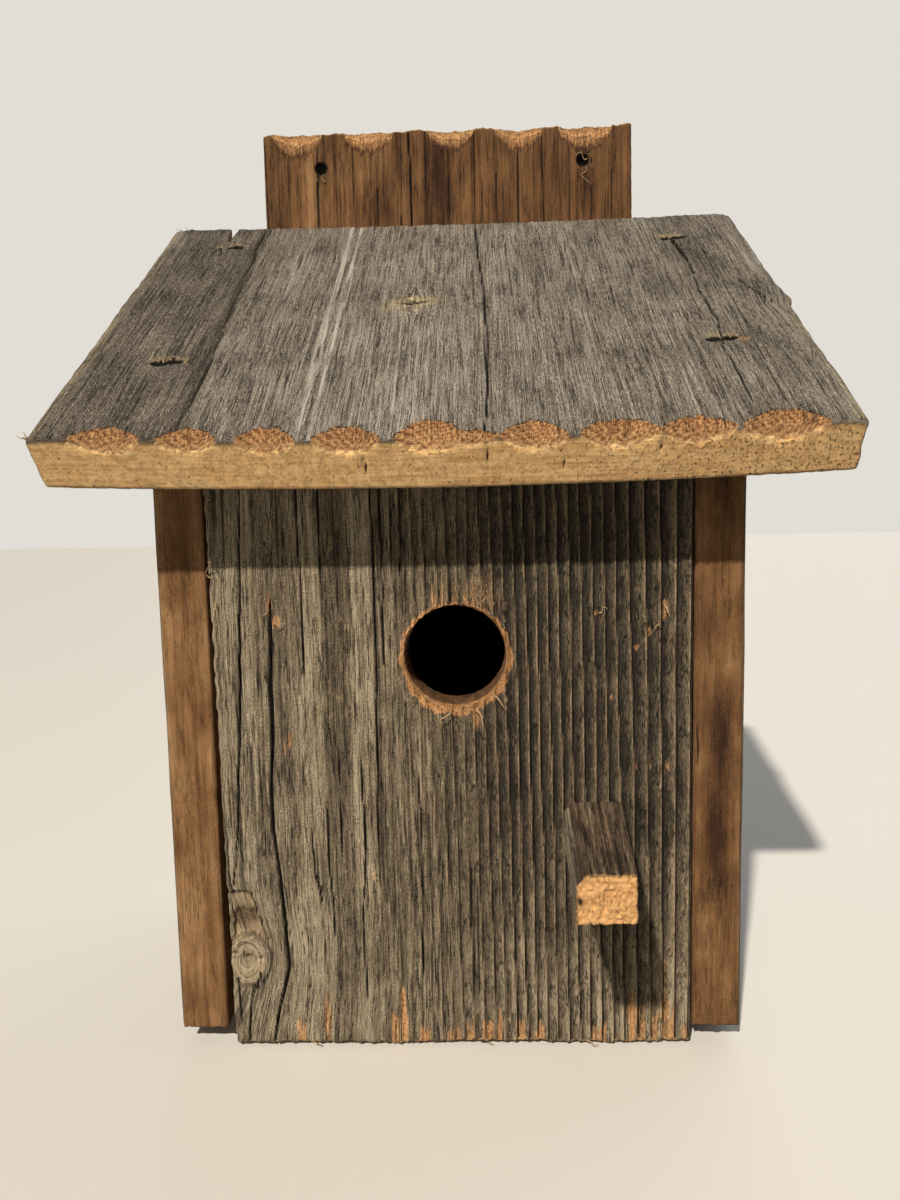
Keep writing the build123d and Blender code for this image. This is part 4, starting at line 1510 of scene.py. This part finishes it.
def splinter(start, lift, seed):
    """A torn fibre: a thin rod that leaves the wood and curls over.

    Its points are start + lift * t, bent sideways by two seeded sine waves of t, and it thins
    towards its tip.
    """
    start, lift = np.array(start, float), np.array(lift, float)
    rng = np.random.default_rng(seed)
    t = np.linspace(0, 1, 12)[:, None]
    curl = rng.normal(0, 0.16, 3) * np.sin(3.0 * t) + rng.normal(0, 0.1, 3) * np.sin(7.0 * t)
    path = start + lift * t + np.linalg.norm(lift) * curl
    size = 0.30 * (1 - t[:, 0]) ** 0.6 + 0.05
    size[0] = 0.05
    return tube(path, size, 0.6 * size, (0.3, 0.5, 0.8), 6)


class BIRDHOUSE_OT_splinters(Undoable, bpy.types.Operator):
    """Thin torn fibres that stand off the front panel, the roof and the back board"""

    bl_idname = "birdhouse.splinters"
    bl_label = "Splinters"

    def execute(self, context):
        m = Maker("torn fibre", roughness=0.85)
        place = m.node("ShaderNodeTexCoord").outputs["Object"]
        grit = m.noise(place, (2500.0, 2500.0, 2500.0), 3.0, 0.6)
        pale = m.ramp(grit, (0.3, paint("fresh_dark")), (0.65, paint("straw")))
        material = m.finish(pale, grit, 0.0002)
        on_roof = [(roof_point(*start), lift) for start, lift in ROOF_SPLINTERS]
        door = [splinter(*fibre, 700 + i) for i, fibre in enumerate(PANEL_SPLINTERS)]
        house = [splinter(*fibre, 740 + i) for i, fibre in enumerate(on_roof)]
        house += [splinter(*fibre, 760 + i) for i, fibre in enumerate(BACK_SPLINTERS)]
        put("panel_splinters", *gather(door), "door", [], "panel_wood", material)
        put("roof_splinters", *gather(house), "house", [], "roof_wood", material)
        return {"FINISHED"}


# ---------------------------------------------------------------- stage

CAMERA_PLACE = (12.27, -414.13, 228.33)
CAMERA_PITCH, CAMERA_YAW, CAMERA_ROLL = (math.radians(v) for v in (6.545, -1.854, -1.257))
CAMERA_LENS = 28.5
# Suns: name, where each shines from, width in degrees, power, colour
SUNS = [
    ("key", (-22.9, -72.0, 69.0), 1.8, 4.25, (1.0, 0.95, 0.88)),
    ("back fill", (0.5, 0.8, 0.35), 90.0, 1.3, (0.94, 0.97, 1.0)),
]
# The low lamp stands well to the left, so that the entrance stays dark. In metres
LOW_FILL_PLACE = (-0.5, -1.35, 0.16)
LOW_FILL_AIM = (0.0, 0.0, 0.2)
FLOOR_REACH = 4.0  # half the width of the studio floor, in metres
FLOOR_LINES = 17
BACKDROP_SEEN = (226, 222, 214)
BACKDROP_LIGHT = (0.11, 0.11, 0.115, 1)


def add_lamp(name, kind, place, towards, **settings):
    """Adds a lamp at a place with its beam, which leaves along its own -Z, pointed at another."""
    data = bpy.data.lights.new(name, kind)
    for key, value in settings.items():
        setattr(data, key, value)
    lamp = bpy.data.objects.new(name, data)
    bpy.context.scene.collection.objects.link(lamp)
    turn = (Vector(place) - Vector(towards)).to_track_quat("Z", "Y").to_matrix().to_4x4()
    lamp.matrix_world = Matrix.Translation(Vector(place)) @ turn


def add_camera():
    """Looks along the yaw and pitch, and its picture is turned by the roll."""
    cos_p, sin_p = math.cos(CAMERA_PITCH), math.sin(CAMERA_PITCH)
    cos_y, sin_y = math.cos(CAMERA_YAW), math.sin(CAMERA_YAW)
    ahead = Vector((sin_y * cos_p, cos_y * cos_p, -sin_p))
    level = Vector((cos_y, -sin_y, 0.0))
    upward = level.cross(ahead)
    right = math.cos(CAMERA_ROLL) * level + math.sin(CAMERA_ROLL) * upward
    above = -math.sin(CAMERA_ROLL) * level + math.cos(CAMERA_ROLL) * upward
    turn = Matrix((right, above, -ahead)).transposed().to_4x4()
    data = bpy.data.cameras.new("camera")
    data.lens, data.sensor_width, data.clip_start = CAMERA_LENS, 36.0, 0.01
    camera = bpy.data.objects.new("camera", data)
    camera.matrix_world = Matrix.Translation(Vector(CAMERA_PLACE) * MM) @ turn
    bpy.context.scene.collection.objects.link(camera)
    bpy.context.scene.camera = camera


def add_world():
    """A pale backdrop to the eye that adds only a little light of its own."""
    backdrop = bpy.data.worlds.new("studio")
    backdrop.use_nodes = True
    tree = backdrop.node_tree
    seen = tree.nodes.new("ShaderNodeLightPath").outputs["Is Camera Ray"]
    mixer = tree.nodes.new("ShaderNodeMix")
    mixer.data_type = "RGBA"
    tree.links.new(seen, mixer.inputs[0])
    mixer.inputs[6].default_value = BACKDROP_LIGHT
    mixer.inputs[7].default_value = (*tint(*BACKDROP_SEEN), 1)
    tree.links.new(mixer.outputs[2], tree.nodes["Background"].inputs["Color"])
    bpy.context.scene.world = backdrop


class BIRDHOUSE_OT_stage(Undoable, bpy.types.Operator):
    """Pale floor, soft studio light and the camera"""

    bl_idname = "birdhouse.stage"
    bl_label = "Stage"

    def execute(self, context):
        reach = np.linspace(-FLOOR_REACH, FLOOR_REACH, FLOOR_LINES)
        points = stack(reach[:, None], reach[None, :], 0.0).reshape(-1, 3)
        quads = quad_grid(FLOOR_LINES, FLOOR_LINES).reshape(-1, 4)
        mesh = bpy.data.meshes.new("studio_floor")
        mesh.from_pydata(points.tolist(), [], quads.tolist())
        floor = bpy.data.objects.new("studio_floor", mesh)
        bpy.context.scene.collection.objects.link(floor)
        m = Maker("studio floor", roughness=0.5, specular=0.35)
        place = m.node("ShaderNodeTexCoord").outputs["Object"]
        cloud = m.noise(place, (1.5, 1.5, 1.5), 3.0, 0.5)
        shade = m.mix(cloud * 0.06, paint("floor"), paint("end_light"))
        mesh.materials.append(m.finish(shade, cloud, 0.0001))
        floor.visible_diffuse = False  # its bounce would fill the shade below the roof
        for name, place, angle, power, tone in SUNS:
            add_lamp(name, "SUN", place, (0, 0, 0), angle=math.radians(angle), energy=power, color=tone)
        soft = {"shape": "DISK", "size": 0.3, "energy": 4.7, "color": (1.0, 0.9, 0.76)}
        add_lamp("low fill", "AREA", LOW_FILL_PLACE, LOW_FILL_AIM, **soft)
        add_world()
        add_camera()
        context.scene.view_settings.view_transform = "Standard"
        return {"FINISHED"}


# ---------------------------------------------------------------- add-on

class BIRDHOUSE_PT_panel(bpy.types.Panel):
    """Lists the pieces of the birdhouse and its settings"""

    bl_idname = "BIRDHOUSE_PT_panel"
    bl_label = "Birdhouse"
    bl_space_type = "VIEW_3D"
    bl_region_type = "UI"
    bl_category = "Birdhouse"

    def draw(self, context):
        for operator in OPERATORS:
            self.layout.operator(operator.bl_idname)
        for group in (context.scene.birdhouse_wear, context.scene.birdhouse_colours):
            for name in group.__annotations__:
                self.layout.prop(group, name)


OPERATORS = [
    BIRDHOUSE_OT_stage,
    BIRDHOUSE_OT_front_panel,
    BIRDHOUSE_OT_roof_board,
    BIRDHOUSE_OT_back_board,
    BIRDHOUSE_OT_sides,
    BIRDHOUSE_OT_floor_board,
    BIRDHOUSE_OT_perch_block,
    BIRDHOUSE_OT_staples,
    BIRDHOUSE_OT_pivot_nails,
    BIRDHOUSE_OT_splinters,
]
CLASSES = [BirdhouseWear, BirdhouseColours, *OPERATORS, BIRDHOUSE_PT_panel]


def register():
    for item in CLASSES:
        bpy.utils.register_class(item)
    bpy.types.Scene.birdhouse_wear = PointerProperty(type=BirdhouseWear)
    bpy.types.Scene.birdhouse_colours = PointerProperty(type=BirdhouseColours)


def unregister():
    del bpy.types.Scene.birdhouse_colours
    del bpy.types.Scene.birdhouse_wear
    for item in reversed(CLASSES):
        bpy.utils.unregister_class(item)


def main():
    register()
    for operator in OPERATORS:
        group, name = operator.bl_idname.split(".")
        getattr(getattr(bpy.ops, group), name)()


if __name__ == "__main__":
    main()
